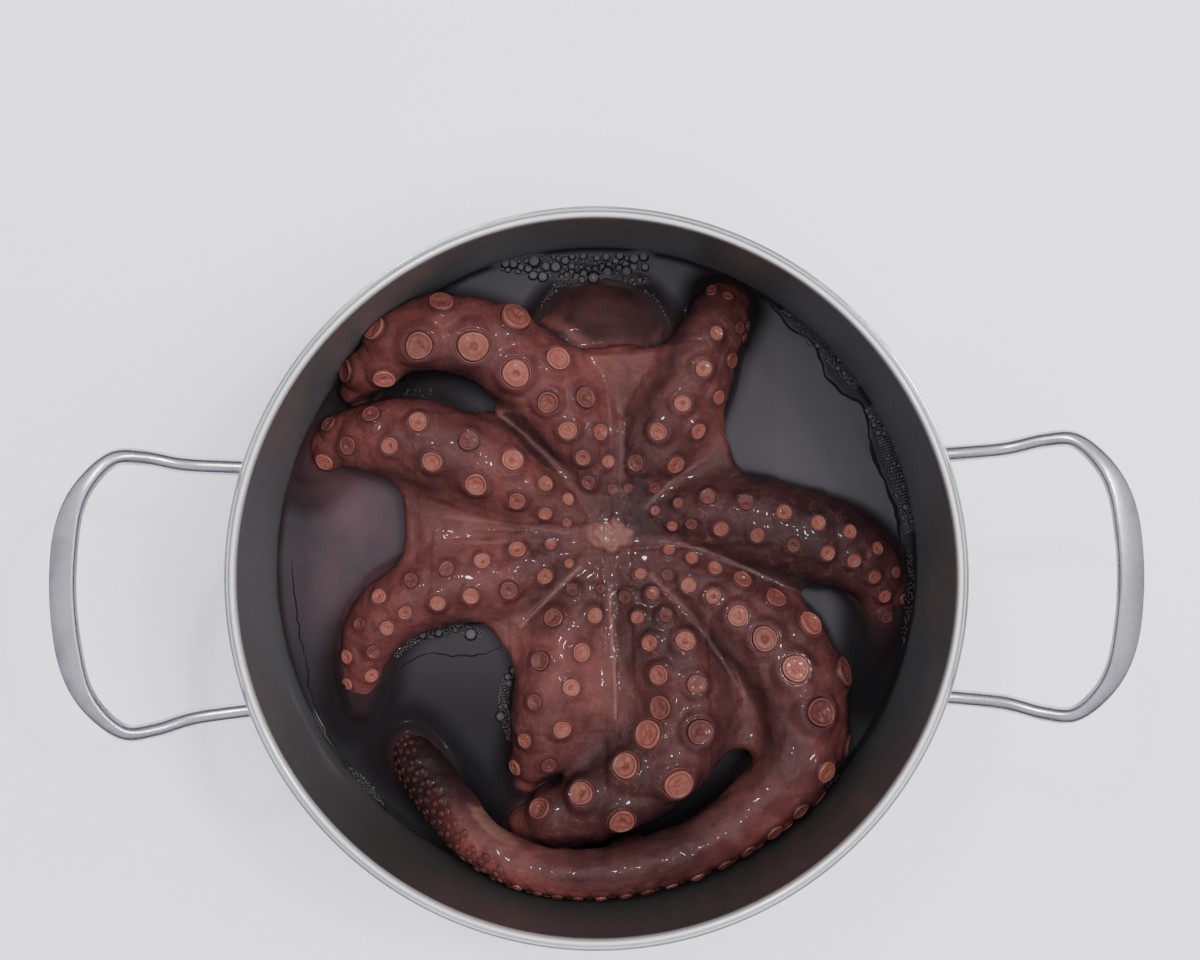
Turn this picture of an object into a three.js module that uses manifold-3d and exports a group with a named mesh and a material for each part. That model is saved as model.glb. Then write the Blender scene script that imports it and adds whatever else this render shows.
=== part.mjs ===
// Cooked octopus lying mouth up in a two-handled steel pot of dark cooking liquid.
// Millimetres, +Z up. The origin is the centre of the pot's foot, and +X runs through the handles.
import * as THREE from "three";
import { mergeVertices } from "three/addons/utils/BufferGeometryUtils.js";
import Module from "manifold-3d";

const wasm = await Module();
wasm.setup();

// Pot
const POT_HEIGHT = 140;
const POT_INNER_RADIUS = 120;
const POT_WALL = 1.5;
const POT_RIM_RADIUS = 124;
const POT_FLOOR = 7; // height of the inside floor
const POT_CORNER = 12; // radius between floor and wall
const POT_LIP = 6; // height of the flared part of the wall
const BASE_RADIUS = 110; // the thick disc under the pot
const BASE_THICKNESS = 5.5;
const POT_SEGMENTS = 40;

// Handles: a round rod welded to the wall, flattened to a band where it is gripped
const HANDLE_FOOT_Z = 116;
const HANDLE_GRIP_Z = 131;
const HANDLE_ROD = 5.8;
const HANDLE_BAND_WIDTH = 9.3;
const HANDLE_BAND_THICKNESS = 3.6;
const HANDLE_PAD = 7.2; // radius of the round pad at each end of the rod
const HANDLE_PAD_THICKNESS = 2;
const HANDLE_HALF_SPREAD = 42;
const HANDLE_REACH = 180.2;
const HANDLE_TURN = 1.17; // degrees that each handle is off the pot's X axis, towards -Y
const HANDLE_SIDES = 8;
const HANDLE_STATIONS = 22;

// Cooking liquid and the clearance that touching pieces keep
const LIQUID_LEVEL = 67;
const GAP = 0.3;

// Octopus
// The crown where the arms meet, the lips round the mouth on it, the head under it, and the mantle, whose far
// side breaks the surface of the liquid. tilt lifts that side, and columns and rows are steps round and up.
const CROWN = { centre: [5.4, 12.1, 60], half: [33, 33, 12.5], tilt: 0, columns: 14, rows: 8 };
const LIPS = { centre: [5.4, 12.1, 73], half: [9, 7, 4], tilt: 0, columns: 8, rows: 6 };
const HEAD = { centre: [4, 22, 36], half: [32, 34, 31], tilt: 0, columns: 12, rows: 8 };
const MANTLE = { centre: [3, 82, 50], half: [37, 33, 24], tilt: 15, columns: 16, rows: 10 };
const ARM_SIDES = 8;
const ARM_STEP = 11; // distance between sections along an arm
const ARM_THICKNESS = 0.82; // height of an arm's section as a share of its width
const ARM_MIN_HALF_HEIGHT = 5.5;
const ARM_REACH_LIMIT = POT_INNER_RADIUS - 3 * GAP; // nothing of the octopus goes past this radius
const WEB_THICKNESS = 5;
const WEB_START = 5; // distance from the mouth where a web begins
const WEB_RISE = 7; // how far above the middle of an arm its web joins it

// Eight arms, anticlockwise seen from above. A route runs from the mouth to the tip; half is the arm's half
// width at each of its points, and roll is how far the suckered face leans to the left there, in degrees.
// sucker holds the diameter of the arm's largest sucker, how far along the arm that one is as a share of its
// length, the share of its size left at the tip, how steeply it falls to that (less is steeper), and two
// measures in diameters: the step from one to the next, and each row's distance from the middle. swap starts
// the first sucker in the left row instead of the right one.
const ARMS = [
  {
    route: [[4, 20, 70], [-2, 44, 72], [-18, 69, 76], [-43, 86, 82], [-66, 86, 87], [-80, 77, 81],
      [-89, 67, 70]],
    half: [4, 11.5, 15.6, 15, 12.6, 9, 5.5],
    roll: [0, -8, -10, -22, -35, -32, -20],
    sucker: { size: 10.8, peak: 0.6, tip: 0.7, fall: 0.6, pitch: 0.99, offset: 0.72, swap: true },
  },
  {
    route: [[-2, 16, 70], [-15, 24, 73], [-34, 35, 76], [-56, 46, 78], [-78, 50.5, 76], [-96, 48, 70],
      [-107, 39, 62]],
    half: [4, 8, 13.5, 15.8, 14, 9.5, 5],
    roll: [0, 0, 0, 0, -10, -20, -15],
    sucker: { size: 7.8, peak: 0.38, tip: 0.8, fall: 0.6, pitch: 1.12, offset: 0.76 },
  },
  {
    route: [[-3, 8, 70], [-18, 4, 72], [-37, -2, 72], [-57, -6.5, 72], [-76, -14, 70], [-87, -29, 68],
      [-90, -50, 62]],
    half: [4, 8.5, 13, 14, 13, 10, 5],
    roll: [0, -3, -5, -7, -9, -7, -5],
    sucker: { size: 6.6, peak: 0.22, tip: 0.7, fall: 0.6, pitch: 1.08, offset: 0.88 },
  },
  {
    route: [[1, 2, 70], [-6, -13, 72], [-14, -32, 74], [-19, -52, 74], [-23, -67, 71], [-26.5, -80, 65]],
    half: [4, 9.5, 13.3, 13.5, 11, 6],
    roll: [0, 0, 0, 0, -5, -10],
    sucker: { size: 6.8, peak: 0.3, tip: 0.85, fall: 0.6, pitch: 1.09, offset: 0.88 },
  },
  {
    route: [[8, 3, 70], [17, -13, 72], [28, -33, 75], [32, -54, 76], [21, -74, 77], [2, -85, 76],
      [-16, -93, 73], [-29, -96, 68]],
    half: [4, 10, 14.5, 16.5, 16, 14.2, 12, 8],
    roll: [0, 0, -4, -12, -8, 0, 0, 0],
    sucker: { size: 10.6, peak: 0.67, tip: 0.75, fall: 0.6, pitch: 0.93, offset: 0.8 },
  },
  {
    route: [[16, 5, 70], [33, -4, 72], [54, -19, 74], [70, -36, 75], [76, -55, 76], [71, -74, 78],
      [53, -91, 81], [28, -103, 88], [0, -108.5, 93], [-25, -106.5, 92], [-43.5, -98.5, 86],
      [-56.5, -85.5, 78], [-66, -74.5, 71], [-73, -66.5, 64]],
    half: [4, 10, 16, 18, 18, 16.5, 13.8, 12, 10.4, 10, 10.2, 10.4, 10, 7.5],
    roll: [0, 20, 26, 32, 48, 68, 78, 84, 84, 76, 60, 42, 28, 20],
    sucker: { size: 10.8, peak: 0.33, tip: 0.2, fall: 0.4, pitch: 0.86, offset: 0.84 },
  },
  {
    route: [[16, 14, 70], [31, 20, 72], [52, 18.5, 74], [75, 11.5, 74], [95, 4, 71], [106, -10, 66],
      [107.5, -28, 61], [104, -44, 55]],
    half: [4, 9.5, 15, 16.5, 14.5, 10.5, 6.5, 3.8],
    roll: [0, 0, 0, 2, 10, 25, 40, 45],
    sucker: { size: 6.3, peak: 0.28, tip: 0.6, fall: 0.6, pitch: 1.1, offset: 0.88 },
  },
  {
    route: [[11, 20, 70], [23, 44, 72], [36, 67, 74], [42, 82, 74], [47, 91, 72], [50, 98, 67]],
    half: [4, 13, 14.5, 12.8, 11.4, 9.5],
    roll: [0, -14, -30, -32, -25, -10],
    sucker: { size: 6.6, peak: 0.3, tip: 0.8, fall: 0.6, pitch: 1.12, offset: 0.9 },
  },
];

// The web of skin between each arm and the next one: how far along the two arms it runs, how deeply its free
// edge is scooped as a share of that, and how far its middle sags.
const WEBS = [
  { along: [50, 52], scoop: 0.1, sag: 5 },
  { along: [86, 73], scoop: 0.1, sag: 0 },
  { along: [52, 58], scoop: 0.08, sag: -1 },
  { along: [82, 72], scoop: 0.0, sag: -4 },
  { along: [80, 108], scoop: 0.08, sag: -2 },
  { along: [70, 66], scoop: 0.05, sag: 1 },
  { along: [46, 62], scoop: 0.08, sag: 0 },
  { along: [70, 74], scoop: 0.02, sag: -1 },
];

// Suckers: two rows to an arm, taken turn about, small at the mouth, largest partway out, small at the tip
const SUCKER_SIDES = 6;
const SUCKER_START = 0.42; // size of the first one as a share of the largest
const SUCKER_FIRST = 9.5; // distance of the first one along the arm
const SUCKER_UNEVEN = 0.2; // spread of the diameters
const SUCKER_SHIFT = 0.15; // spread of the places along the arm, as a share of the diameter
const SUCKER_STAND = 0.3; // height above the skin, as a share of its diameter
const SUCKER_ROOT = 0.3; // depth under the skin, the same way
const SUCKER_SMALLEST = 5.4; // smaller ones are left to the surface finish

/** A closed solid from rings of points that turn anticlockwise about the way they are stacked. */
function loft(rings) {
  const sides = rings[0].length;
  const positions = rings.flat().flatMap((p) => p.toArray());
  const index = [];
  for (let i = 0; i + 1 < rings.length; i++)
    for (let j = 0; j < sides; j++) {
      const k = (j + 1) % sides;
      const [a, b, c, d] = [i * sides + j, i * sides + k, (i + 1) * sides + j, (i + 1) * sides + k];
      index.push(a, b, c, b, d, c);
    }
  const last = (rings.length - 1) * sides;
  for (let j = 1; j + 1 < sides; j++) index.push(0, j + 1, j, last, last + j, last + j + 1);
  const geometry = new THREE.BufferGeometry();
  geometry.setAttribute("position", new THREE.Float32BufferAttribute(positions, 3));
  geometry.setIndex(index);
  return geometry;
}

/** A manifold-3d solid from a closed three.js geometry. */
function solid(geometry) {
  const bare = geometry.clone();
  bare.deleteAttribute("normal");
  bare.deleteAttribute("uv");
  const merged = mergeVertices(bare, 1e-4);
  return new wasm.Manifold(
    new wasm.Mesh({
      numProp: 3,
      vertProperties: new Float32Array(merged.attributes.position.array),
      triVerts: new Uint32Array(merged.index.array),
    }),
  );
}

/** The triangles of a mesh's largest closed shell: sealed hollows are filled and loose scraps dropped. */
function largestShell(vertices, triangles) {
  const parent = Array.from({ length: vertices.length / 3 }, (_, i) => i);
  const root = (i) => {
    while (parent[i] !== i) i = parent[i] = parent[parent[i]];
    return i;
  };
  for (let t = 0; t < triangles.length; t += 3) {
    parent[root(triangles[t + 1])] = root(triangles[t]);
    parent[root(triangles[t + 2])] = root(triangles[t]);
  }
  const corner = (i) => new THREE.Vector3().fromArray(vertices, 3 * i);
  const shells = new Map();
  for (let t = 0; t < triangles.length; t += 3) {
    const [a, b, c] = triangles.slice(t, t + 3);
    const shell = shells.get(root(a)) ?? { volume: 0, index: [] };
    shell.volume += corner(a).dot(corner(b).cross(corner(c))) / 6;
    shell.index.push(a, b, c);
    shells.set(root(a), shell);
  }
  return [...shells.values()].reduce((best, shell) => (shell.volume > best.volume ? shell : best)).index;
}

/** A three.js mesh from a manifold-3d solid. */
function meshOf(name, made, material) {
  const { vertProperties, triVerts } = made.getMesh();
  const geometry = new THREE.BufferGeometry();
  geometry.setAttribute("position", new THREE.BufferAttribute(vertProperties, 3));
  geometry.setIndex(largestShell(vertProperties, triVerts));
  geometry.computeVertexNormals();
  const mesh = new THREE.Mesh(geometry, material);
  mesh.name = name;
  return mesh;
}

/** A solid of revolution about Z from [radius, height] pairs. */
function turned(profile) {
  const points = profile.map(([r, z]) => new THREE.Vector2(r, z));
  return solid(new THREE.LatheGeometry(points, POT_SEGMENTS).rotateX(Math.PI / 2));
}

/** An ellipsoid with its surface moved out by grow; tilt lifts its far side, in degrees. */
function lobe({ centre, half, tilt, columns, rows }, grow) {
  const ball = new THREE.SphereGeometry(1, columns, rows)
    .scale(...half.map((h) => h + grow))
    .rotateX(THREE.MathUtils.degToRad(tilt));
  return solid(ball.translate(...centre));
}

/** Points on a quarter circle from angle a to b, in degrees, about a centre in the profile's plane. */
function arc(centre, radius, a, b, steps) {
  return Array.from({ length: steps + 1 }, (_, i) => {
    const t = THREE.MathUtils.degToRad(a + ((b - a) * i) / steps);
    return [centre[0] + radius * Math.cos(t), centre[1] + radius * Math.sin(t)];
  });
}

/** The pot: base disc, rounded foot, straight wall and a lip that flares outwards. */
function pot() {
  const outer = POT_INNER_RADIUS + POT_WALL;
  return turned([
    [0, 0],
    [BASE_RADIUS - 1.5, 0],
    [BASE_RADIUS, 1.5],
    [BASE_RADIUS, BASE_THICKNESS],
    ...arc([outer - POT_CORNER, BASE_THICKNESS + POT_CORNER], POT_CORNER, -75, 0, 2),
    [outer, POT_HEIGHT - POT_LIP],
    [POT_RIM_RADIUS, POT_HEIGHT - 1.6],
    [POT_RIM_RADIUS - 1, POT_HEIGHT],
    [POT_INNER_RADIUS, POT_HEIGHT - POT_LIP + 1],
    ...arc([POT_INNER_RADIUS - POT_CORNER, POT_FLOOR + POT_CORNER], POT_CORNER, 0, -90, 2),
    [0, POT_FLOOR],
  ]);
}

/** The liquid as if the octopus weren't there. */
function liquidBody() {
  const radius = POT_INNER_RADIUS - GAP;
  return turned([
    [0, POT_FLOOR + GAP],
    ...arc([radius - POT_CORNER, POT_FLOOR + GAP + POT_CORNER], POT_CORNER, -90, 0, 2),
    [radius, LIQUID_LEVEL],
    [0, LIQUID_LEVEL],
  ]);
}

/** The handle on the +X side: the rod leaves the wall, rises and spreads, and flattens into the band. */
function handle() {
  const spread = HANDLE_HALF_SPREAD;
  const wall = POT_INNER_RADIUS + POT_WALL;
  const half = [
    [113, spread - 0.6, HANDLE_FOOT_Z],
    [127, spread + 0.4, HANDLE_FOOT_Z + 0.3],
    [141, spread + 1.8, HANDLE_FOOT_Z + 2],
    [153, spread + 4.6, HANDLE_FOOT_Z + 6],
    [162, spread + 4.8, HANDLE_FOOT_Z + 9.5],
    [170.5, spread - 2.5, HANDLE_FOOT_Z + 12.5],
    [176.5, spread - 14, HANDLE_GRIP_Z - 0.8],
    [HANDLE_REACH, 0, HANDLE_GRIP_Z],
  ];
  const route = [...half, ...half.slice(0, -1).reverse().map(([x, y, z]) => [x, -y, z])];
  const curve = new THREE.CatmullRomCurve3(route.map((p) => new THREE.Vector3(...p)));
  const rings = [];
  for (let i = 0; i <= HANDLE_STATIONS; i++) {
    const u = i / HANDLE_STATIONS;
    const centre = curve.getPointAt(u);
    const along = curve.getTangentAt(u);
    const grip = THREE.MathUtils.smoothstep(1 - Math.abs(2 * u - 1), 0.38, 0.85);
    const width = THREE.MathUtils.lerp(HANDLE_ROD, HANDLE_BAND_WIDTH, grip) / 2;
    const thick = THREE.MathUtils.lerp(HANDLE_ROD, HANDLE_BAND_THICKNESS, grip) / 2;
    const left = new THREE.Vector3(0, 0, 1).cross(along).normalize();
    const up = along.clone().cross(left);
    rings.push(section(centre, left, up, width, thick, HANDLE_SIDES));
  }
  let made = solid(loft(rings));
  for (const end of [-1, 1]) {
    const pad = new THREE.CylinderGeometry(HANDLE_PAD - 0.7, HANDLE_PAD, HANDLE_PAD_THICKNESS, 10)
      .rotateZ(-Math.PI / 2)
      .translate(wall + GAP + HANDLE_PAD_THICKNESS / 2, 0, 0)
      .rotateZ(end * Math.asin(spread / wall))
      .translate(0, 0, HANDLE_FOOT_Z);
    made = made.add(solid(pad));
  }
  const space = new THREE.CylinderGeometry(wall + GAP, wall + GAP, 2 * POT_HEIGHT, POT_SEGMENTS);
  return made.subtract(solid(space.rotateX(Math.PI / 2)));
}

/** A ring of points about a centre: an ellipse of the given half width and half height. */
function section(centre, left, up, width, height, sides) {
  return Array.from({ length: sides }, (_, j) => {
    const t = (2 * Math.PI * (j + 0.5)) / sides;
    return centre
      .clone()
      .addScaledVector(left, width * Math.cos(t))
      .addScaledVector(up, height * Math.sin(t));
  });
}

/** An arm as functions of the distance along it from the mouth. */
class Arm {
  constructor({ route, half, roll, sucker }) {
    this.line = new THREE.CatmullRomCurve3(route.map((p) => new THREE.Vector3(...p)), false, "catmullrom");
    this.size = new THREE.CatmullRomCurve3(
      half.map((h, i) => new THREE.Vector3(h, roll[i], 0)), false, "catmullrom");
    this.length = this.line.getLength();
    this.sucker = sucker;
  }

  /** The section at a distance s from the mouth: its centre, its three directions and its half sizes. */
  at(s) {
    const u = this.line.getUtoTmapping(THREE.MathUtils.clamp(s / this.length, 0, 1));
    const centre = this.line.getPoint(u);
    const along = this.line.getTangent(u);
    const { x: width, y: roll } = this.size.getPoint(u);
    const level = new THREE.Vector3(0, 0, 1).cross(along).normalize();
    const upright = along.clone().cross(level);
    const lean = THREE.MathUtils.degToRad(roll);
    const left = level.clone().multiplyScalar(Math.cos(lean)).addScaledVector(upright, -Math.sin(lean));
    const up = upright.multiplyScalar(Math.cos(lean)).addScaledVector(level, Math.sin(lean));
    const height = Math.max(width * ARM_THICKNESS, Math.min(ARM_MIN_HALF_HEIGHT, width * 1.3));
    return { centre, along, left, up, width, height };
  }

  /** The arm's own solid, with its surface moved out by grow. */
  solid(grow) {
    const steps = Math.ceil(this.length / ARM_STEP);
    const rings = [];
    for (let i = 0; i <= steps; i++) {
      const s = (this.length * i) / steps;
      const { centre, along, left, up, width, height } = this.at(s);
      if (i === 0) centre.addScaledVector(along, -grow);
      if (i === steps) centre.addScaledVector(along, grow);
      rings.push(section(centre, left, up, width + grow, height + grow, ARM_SIDES));
    }
    const { centre, along, left, up, width, height } = this.at(this.length);
    centre.addScaledVector(along, 0.6 * width + grow);
    rings.push(section(centre, left, up, 0.55 * width + grow, 0.55 * height + grow, ARM_SIDES));
    return solid(loft(rings));
  }

  /** Diameter of a sucker at a distance s: it grows out to the largest and then shrinks to the tip. */
  suckerSize(s) {
    const { size, peak, tip, fall } = this.sucker;
    const u = Math.min(1, s / this.length);
    if (u < peak) return size * THREE.MathUtils.lerp(SUCKER_START, 1, THREE.MathUtils.smoothstep(u, 0, peak));
    return size * THREE.MathUtils.lerp(1, tip, ((u - peak) / (1 - peak)) ** fall);
  }
}

/** A closed sheet between two arms, with its surface moved out by grow. */
function web(first, second, { along, scoop, sag }, grow) {
  const outward = 4;
  const across = 4;
  const thickness = WEB_THICKNESS / 2 + grow;
  const top = [];
  const under = [];
  for (let i = 0; i <= outward; i++)
    for (let j = 0; j <= across; j++) {
      const v = j / across;
      const bow = 4 * v * (1 - v);
      const u = (i / outward) * (1 - scoop * bow);
      const further = i === outward ? grow : 0;
      const [s, t] = along.map((far) => THREE.MathUtils.lerp(WEB_START, far, u) + further);
      const p = first.at(s).centre.lerp(second.at(t).centre, v);
      p.z += Math.min(1, 1.6 * u) * (WEB_RISE - (WEB_RISE + sag) * bow);
      top.push(p.clone().setZ(p.z + thickness));
      under.push(p.clone().setZ(p.z - thickness));
    }
  const positions = [...top, ...under].flatMap((p) => p.toArray());
  const index = [];
  const row = across + 1;
  const lower = top.length;
  const quad = (a, b, c, d) => index.push(a, b, c, a, c, d);
  for (let i = 0; i < outward; i++)
    for (let j = 0; j < across; j++) {
      const [a, b, c, d] = [i * row + j, (i + 1) * row + j, (i + 1) * row + j + 1, i * row + j + 1];
      quad(a, b, c, d);
      quad(lower + a, lower + d, lower + c, lower + b);
    }
  for (let i = 0; i < outward; i++) {
    const [a, b] = [i * row, (i + 1) * row];
    quad(a, lower + a, lower + b, b);
    quad(a + across, b + across, lower + b + across, lower + a + across);
  }
  for (let j = 0; j < across; j++) {
    const far = outward * row + j;
    quad(j, j + 1, lower + j + 1, lower + j);
    quad(far, lower + far, lower + far + 1, far + 1);
  }
  const geometry = new THREE.BufferGeometry();
  geometry.setAttribute("position", new THREE.Float32BufferAttribute(positions, 3));
  geometry.setIndex(index);
  return solid(geometry);
}

/** Everything of the octopus but its suckers, with its surface moved out by grow. */
function octopusCore(arms, grow) {
  const pieces = arms.map((arm) => arm.solid(grow));
  arms.forEach((arm, i) => pieces.push(web(arm, arms[(i + 1) % arms.length], WEBS[i], grow)));
  pieces.push(...[CROWN, LIPS, HEAD, MANTLE].map((part) => lobe(part, grow)));
  return pieces.reduce((whole, piece) => whole.add(piece));
}

/** A fixed pseudo-random number from -0.5 to 0.5 for a sucker of an arm. */
function wobble(n, arm) {
  const wave = Math.sin(n * 12.9898 + arm * 78.233) * 43758.5453;
  return wave - Math.floor(wave) - 0.5;
}

/** Each sucker that stands clear of the liquid and the wall, as a short flared button. */
function suckers(arm, which) {
  const made = [];
  let s = SUCKER_FIRST;
  const { pitch, offset, swap = false } = arm.sucker;
  for (let n = 0; s < arm.length; n++, s += pitch * arm.suckerSize(s)) {
    const size = arm.suckerSize(s) * (1 + SUCKER_UNEVEN * wobble(n, which));
    const place = s + SUCKER_SHIFT * size * wobble(n + 50, which);
    const { centre, along, left, up, width, height } = arm.at(place);
    const side = (n % 2 === 1) === swap ? 1 : -1;
    const t = Math.PI / 2 - side * Math.asin(Math.min(0.8, (offset * size) / width));
    const base = centre
      .clone()
      .addScaledVector(left, width * Math.cos(t))
      .addScaledVector(up, height * Math.sin(t));
    const out = left.clone().multiplyScalar(Math.cos(t) / width)
      .addScaledVector(up, Math.sin(t) / height)
      .normalize();
    const radius = size / 2;
    const top = base.clone().addScaledVector(out, SUCKER_STAND * size);
    const root = base.clone().addScaledVector(out, -SUCKER_ROOT * size);
    const lowest = Math.min(top.z, root.z) - radius * Math.hypot(out.x, out.y);
    const reach = Math.hypot(top.x, top.y) + radius * Math.abs(out.z);
    if (size < SUCKER_SMALLEST || lowest < LIQUID_LEVEL + GAP || reach > ARM_REACH_LIMIT) continue;
    const across = out.clone().cross(along);
    made.push(solid(loft([
      section(root, along, across, 0.82 * radius, 0.82 * radius, SUCKER_SIDES),
      section(top, along, across, radius, radius, SUCKER_SIDES),
    ])));
  }
  return made;
}

/** The space inside the pot that the octopus may fill: above the floor and clear of the wall. */
function roomForOctopus() {
  return turned([
    [0, POT_FLOOR + GAP],
    [ARM_REACH_LIMIT - POT_CORNER, POT_FLOOR + GAP],
    [ARM_REACH_LIMIT, POT_FLOOR + GAP + POT_CORNER],
    [ARM_REACH_LIMIT, POT_HEIGHT],
    [0, POT_HEIGHT],
  ]);
}

const steel = new THREE.MeshStandardMaterial({ color: 0xb9b9bb, roughness: 0.28, metalness: 1 });
const polished = new THREE.MeshStandardMaterial({ color: 0xc4c4c8, roughness: 0.18, metalness: 1 });
const dark = new THREE.MeshStandardMaterial({ color: 0x1c1618, roughness: 0.08, metalness: 0 });
const flesh = new THREE.MeshStandardMaterial({ color: 0x6f3b37, roughness: 0.42, metalness: 0 });

const arms = ARMS.map((arm) => new Arm(arm));
const buttons = arms.flatMap(suckers);
const octopus = buttons
  .reduce((whole, button) => whole.add(button), octopusCore(arms, 0))
  .intersect(roomForOctopus());
const liquid = liquidBody().subtract(octopusCore(arms, GAP + 0.05));

const group = new THREE.Group();
group.add(meshOf("pot", pot(), steel));
group.add(meshOf("handle_left", handle(), polished));
group.add(meshOf("handle_right", handle(), polished));
group.add(meshOf("broth", liquid, dark));
group.add(meshOf("octopus", octopus, flesh));
group.getObjectByName("handle_left").rotation.z = Math.PI + THREE.MathUtils.degToRad(HANDLE_TURN);
group.getObjectByName("handle_right").rotation.z = -THREE.MathUtils.degToRad(HANDLE_TURN);

export default group;
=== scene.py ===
"""Cooked octopus lying mouth up in its broth, in a two-handled steel pot.

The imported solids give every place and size. Here the pot, its handles, the broth, the octopus, its suckers
and the foam are modelled in full, dressed, lit and framed. Lengths are millimetres unless a name says metres.
"""

import itertools
import logging
import math
from dataclasses import dataclass, field
from enum import Enum
from functools import cached_property
from typing import Any, Iterable, Sequence, Union

import bpy
import numpy as np
import openvdb
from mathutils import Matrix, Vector


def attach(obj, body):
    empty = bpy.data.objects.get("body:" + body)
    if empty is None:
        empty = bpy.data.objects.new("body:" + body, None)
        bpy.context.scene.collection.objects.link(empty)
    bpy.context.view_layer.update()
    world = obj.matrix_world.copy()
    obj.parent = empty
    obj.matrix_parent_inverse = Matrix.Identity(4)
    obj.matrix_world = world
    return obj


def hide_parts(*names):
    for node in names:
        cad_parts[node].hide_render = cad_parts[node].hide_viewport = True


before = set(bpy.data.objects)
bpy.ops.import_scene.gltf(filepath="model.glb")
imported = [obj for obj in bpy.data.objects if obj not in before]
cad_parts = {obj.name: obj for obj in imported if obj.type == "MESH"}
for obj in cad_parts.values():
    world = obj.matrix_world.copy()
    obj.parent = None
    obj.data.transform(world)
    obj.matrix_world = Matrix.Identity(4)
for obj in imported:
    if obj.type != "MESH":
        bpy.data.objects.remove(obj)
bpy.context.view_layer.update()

LOG = logging.getLogger("cooked_octopus")
MM = 0.001
Array = np.ndarray
Colour = tuple[float, float, float]
Point = tuple[float, float, float]
Place = tuple[float, float]
Faces = list[list[int]]
Material = bpy.types.Material
Object = bpy.types.Object


# ---------------------------------------------------------------- numbers


def smooth(value: Array, low: float, high: float) -> Array:
    """A smooth step from 0 at low to 1 at high."""
    part = np.clip((value - low) / (high - low), 0, 1)
    return part * part * (3 - 2 * part)


def bell(value: Array, width: float) -> Array:
    """1 at zero, falling off to both sides over the given width."""
    return np.exp(-((value / width) ** 2))


def mix(first: Any, second: Any, part: Any) -> Any:
    """The value between first and second."""
    return first + (second - first) * part


def unit(vectors: Array) -> Array:
    """The vectors at length 1."""
    return vectors / np.maximum(np.linalg.norm(vectors, axis=-1, keepdims=True), 1e-9)


def spline(points: Any, where: Array, power: float = 0.0) -> Array:
    """Points along a Catmull-Rom curve.

    Args:
        points: The (n, k) points that the curve passes through.
        where: Places along it, from 0 to 1.
        power: 0 for even spacing, 0.5 for spacing by the root of each chord.

    Returns:
        One point for each place.
    """
    points = np.asarray(points, float)
    padded = np.vstack([2 * points[0] - points[1], points, 2 * points[-1] - points[-2]])
    count = len(points) - 1
    place = np.clip(where, 0, 1) * count
    index = np.minimum(place.astype(int), count - 1)
    part = (place - index)[:, None]
    p = [padded[index + i] for i in range(4)]
    gap = [np.linalg.norm(p[i + 1] - p[i], axis=1, keepdims=True) ** power for i in range(3)]
    across = (p[2] - p[1]) / gap[1]
    start = ((p[1] - p[0]) / gap[0] - (p[2] - p[0]) / (gap[0] + gap[1]) + across) * gap[1]
    end = (across - (p[3] - p[1]) / (gap[1] + gap[2]) + (p[3] - p[2]) / gap[2]) * gap[1]
    cubic = 2 * (p[1] - p[2]) + start + end
    square = 3 * (p[2] - p[1]) - 2 * start - end
    return ((cubic * part + square) * part + start) * part + p[1]


def lumps(points: Array, size: float, seed: int) -> Array:
    """Smooth lattice noise from -1 to 1.

    Args:
        points: The (n, 3) points where it is read.
        size: Distance between the lattice's nodes.
        seed: Which noise it is.

    Returns:
        One number for each point.
    """
    place = points / size
    cell = np.floor(place).astype(np.int64)
    part = place - cell
    part = part * part * (3 - 2 * part)
    total = np.zeros(len(points))
    for corner in itertools.product((0, 1), repeat=3):
        key = (cell + corner) @ np.array([73856093, 19349663, 83492791]) + seed * 7919
        key = ((key ^ (key >> 13)) * 1274126177) & 0xFFFFFFFF
        key = (key ^ (key >> 16)) & 0xFFFF
        weight = np.prod(np.where(np.array(corner) == 1, part, 1 - part), axis=1)
        total += weight * (key / 32767.5 - 1)
    return total


def near_line(points: Array, line: Array) -> Array:
    """Each point's distance in plan from a line of points.

    Args:
        points: The (n, 2 or 3) points.
        line: The (m, 2 or 3) points of the line.

    Returns:
        One distance for each point.
    """
    flat = points[:, :2]
    best = np.full(len(flat), np.inf)
    for start, end in zip(line[:-1, :2], line[1:, :2]):
        along = end - start
        part = np.clip((flat - start) @ along / max(along @ along, 1e-9), 0, 1)
        best = np.minimum(best, np.linalg.norm(flat - start - part[:, None] * along, axis=1))
    return best


# ---------------------------------------------------------------- meshes


def arc(centre: Place, radius: float, start: float, end: float, steps: int) -> list[Place]:
    """Points on an arc from start to end, in degrees, in a profile's plane."""
    turns = np.radians(np.linspace(start, end, steps + 1))
    return [(centre[0] + radius * math.cos(t), centre[1] + radius * math.sin(t)) for t in turns]


def cos_sin(degrees: Any) -> tuple[Any, Any]:
    """The cosine and the sine of an angle in degrees."""
    return np.cos(np.radians(degrees)), np.sin(np.radians(degrees))


def turns_of(sides: int) -> Array:
    """The angles of a ring's points, in radians."""
    return np.linspace(0, 2 * math.pi, sides, endpoint=False)


def fan(first: int, sides: int, tip: int) -> Faces:
    """Triangles from the ring that starts at point first to the point tip."""
    return [[first + i, first + (i + 1) % sides, tip] for i in range(sides)]


def within(points: Array, reach: float) -> Array:
    """The points, moved in where they lie further than reach from the axis."""
    share = np.minimum(1, reach / np.maximum(np.hypot(points[:, 0], points[:, 1]), 1))
    return points * np.column_stack([share, share, np.ones(len(points))])


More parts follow.
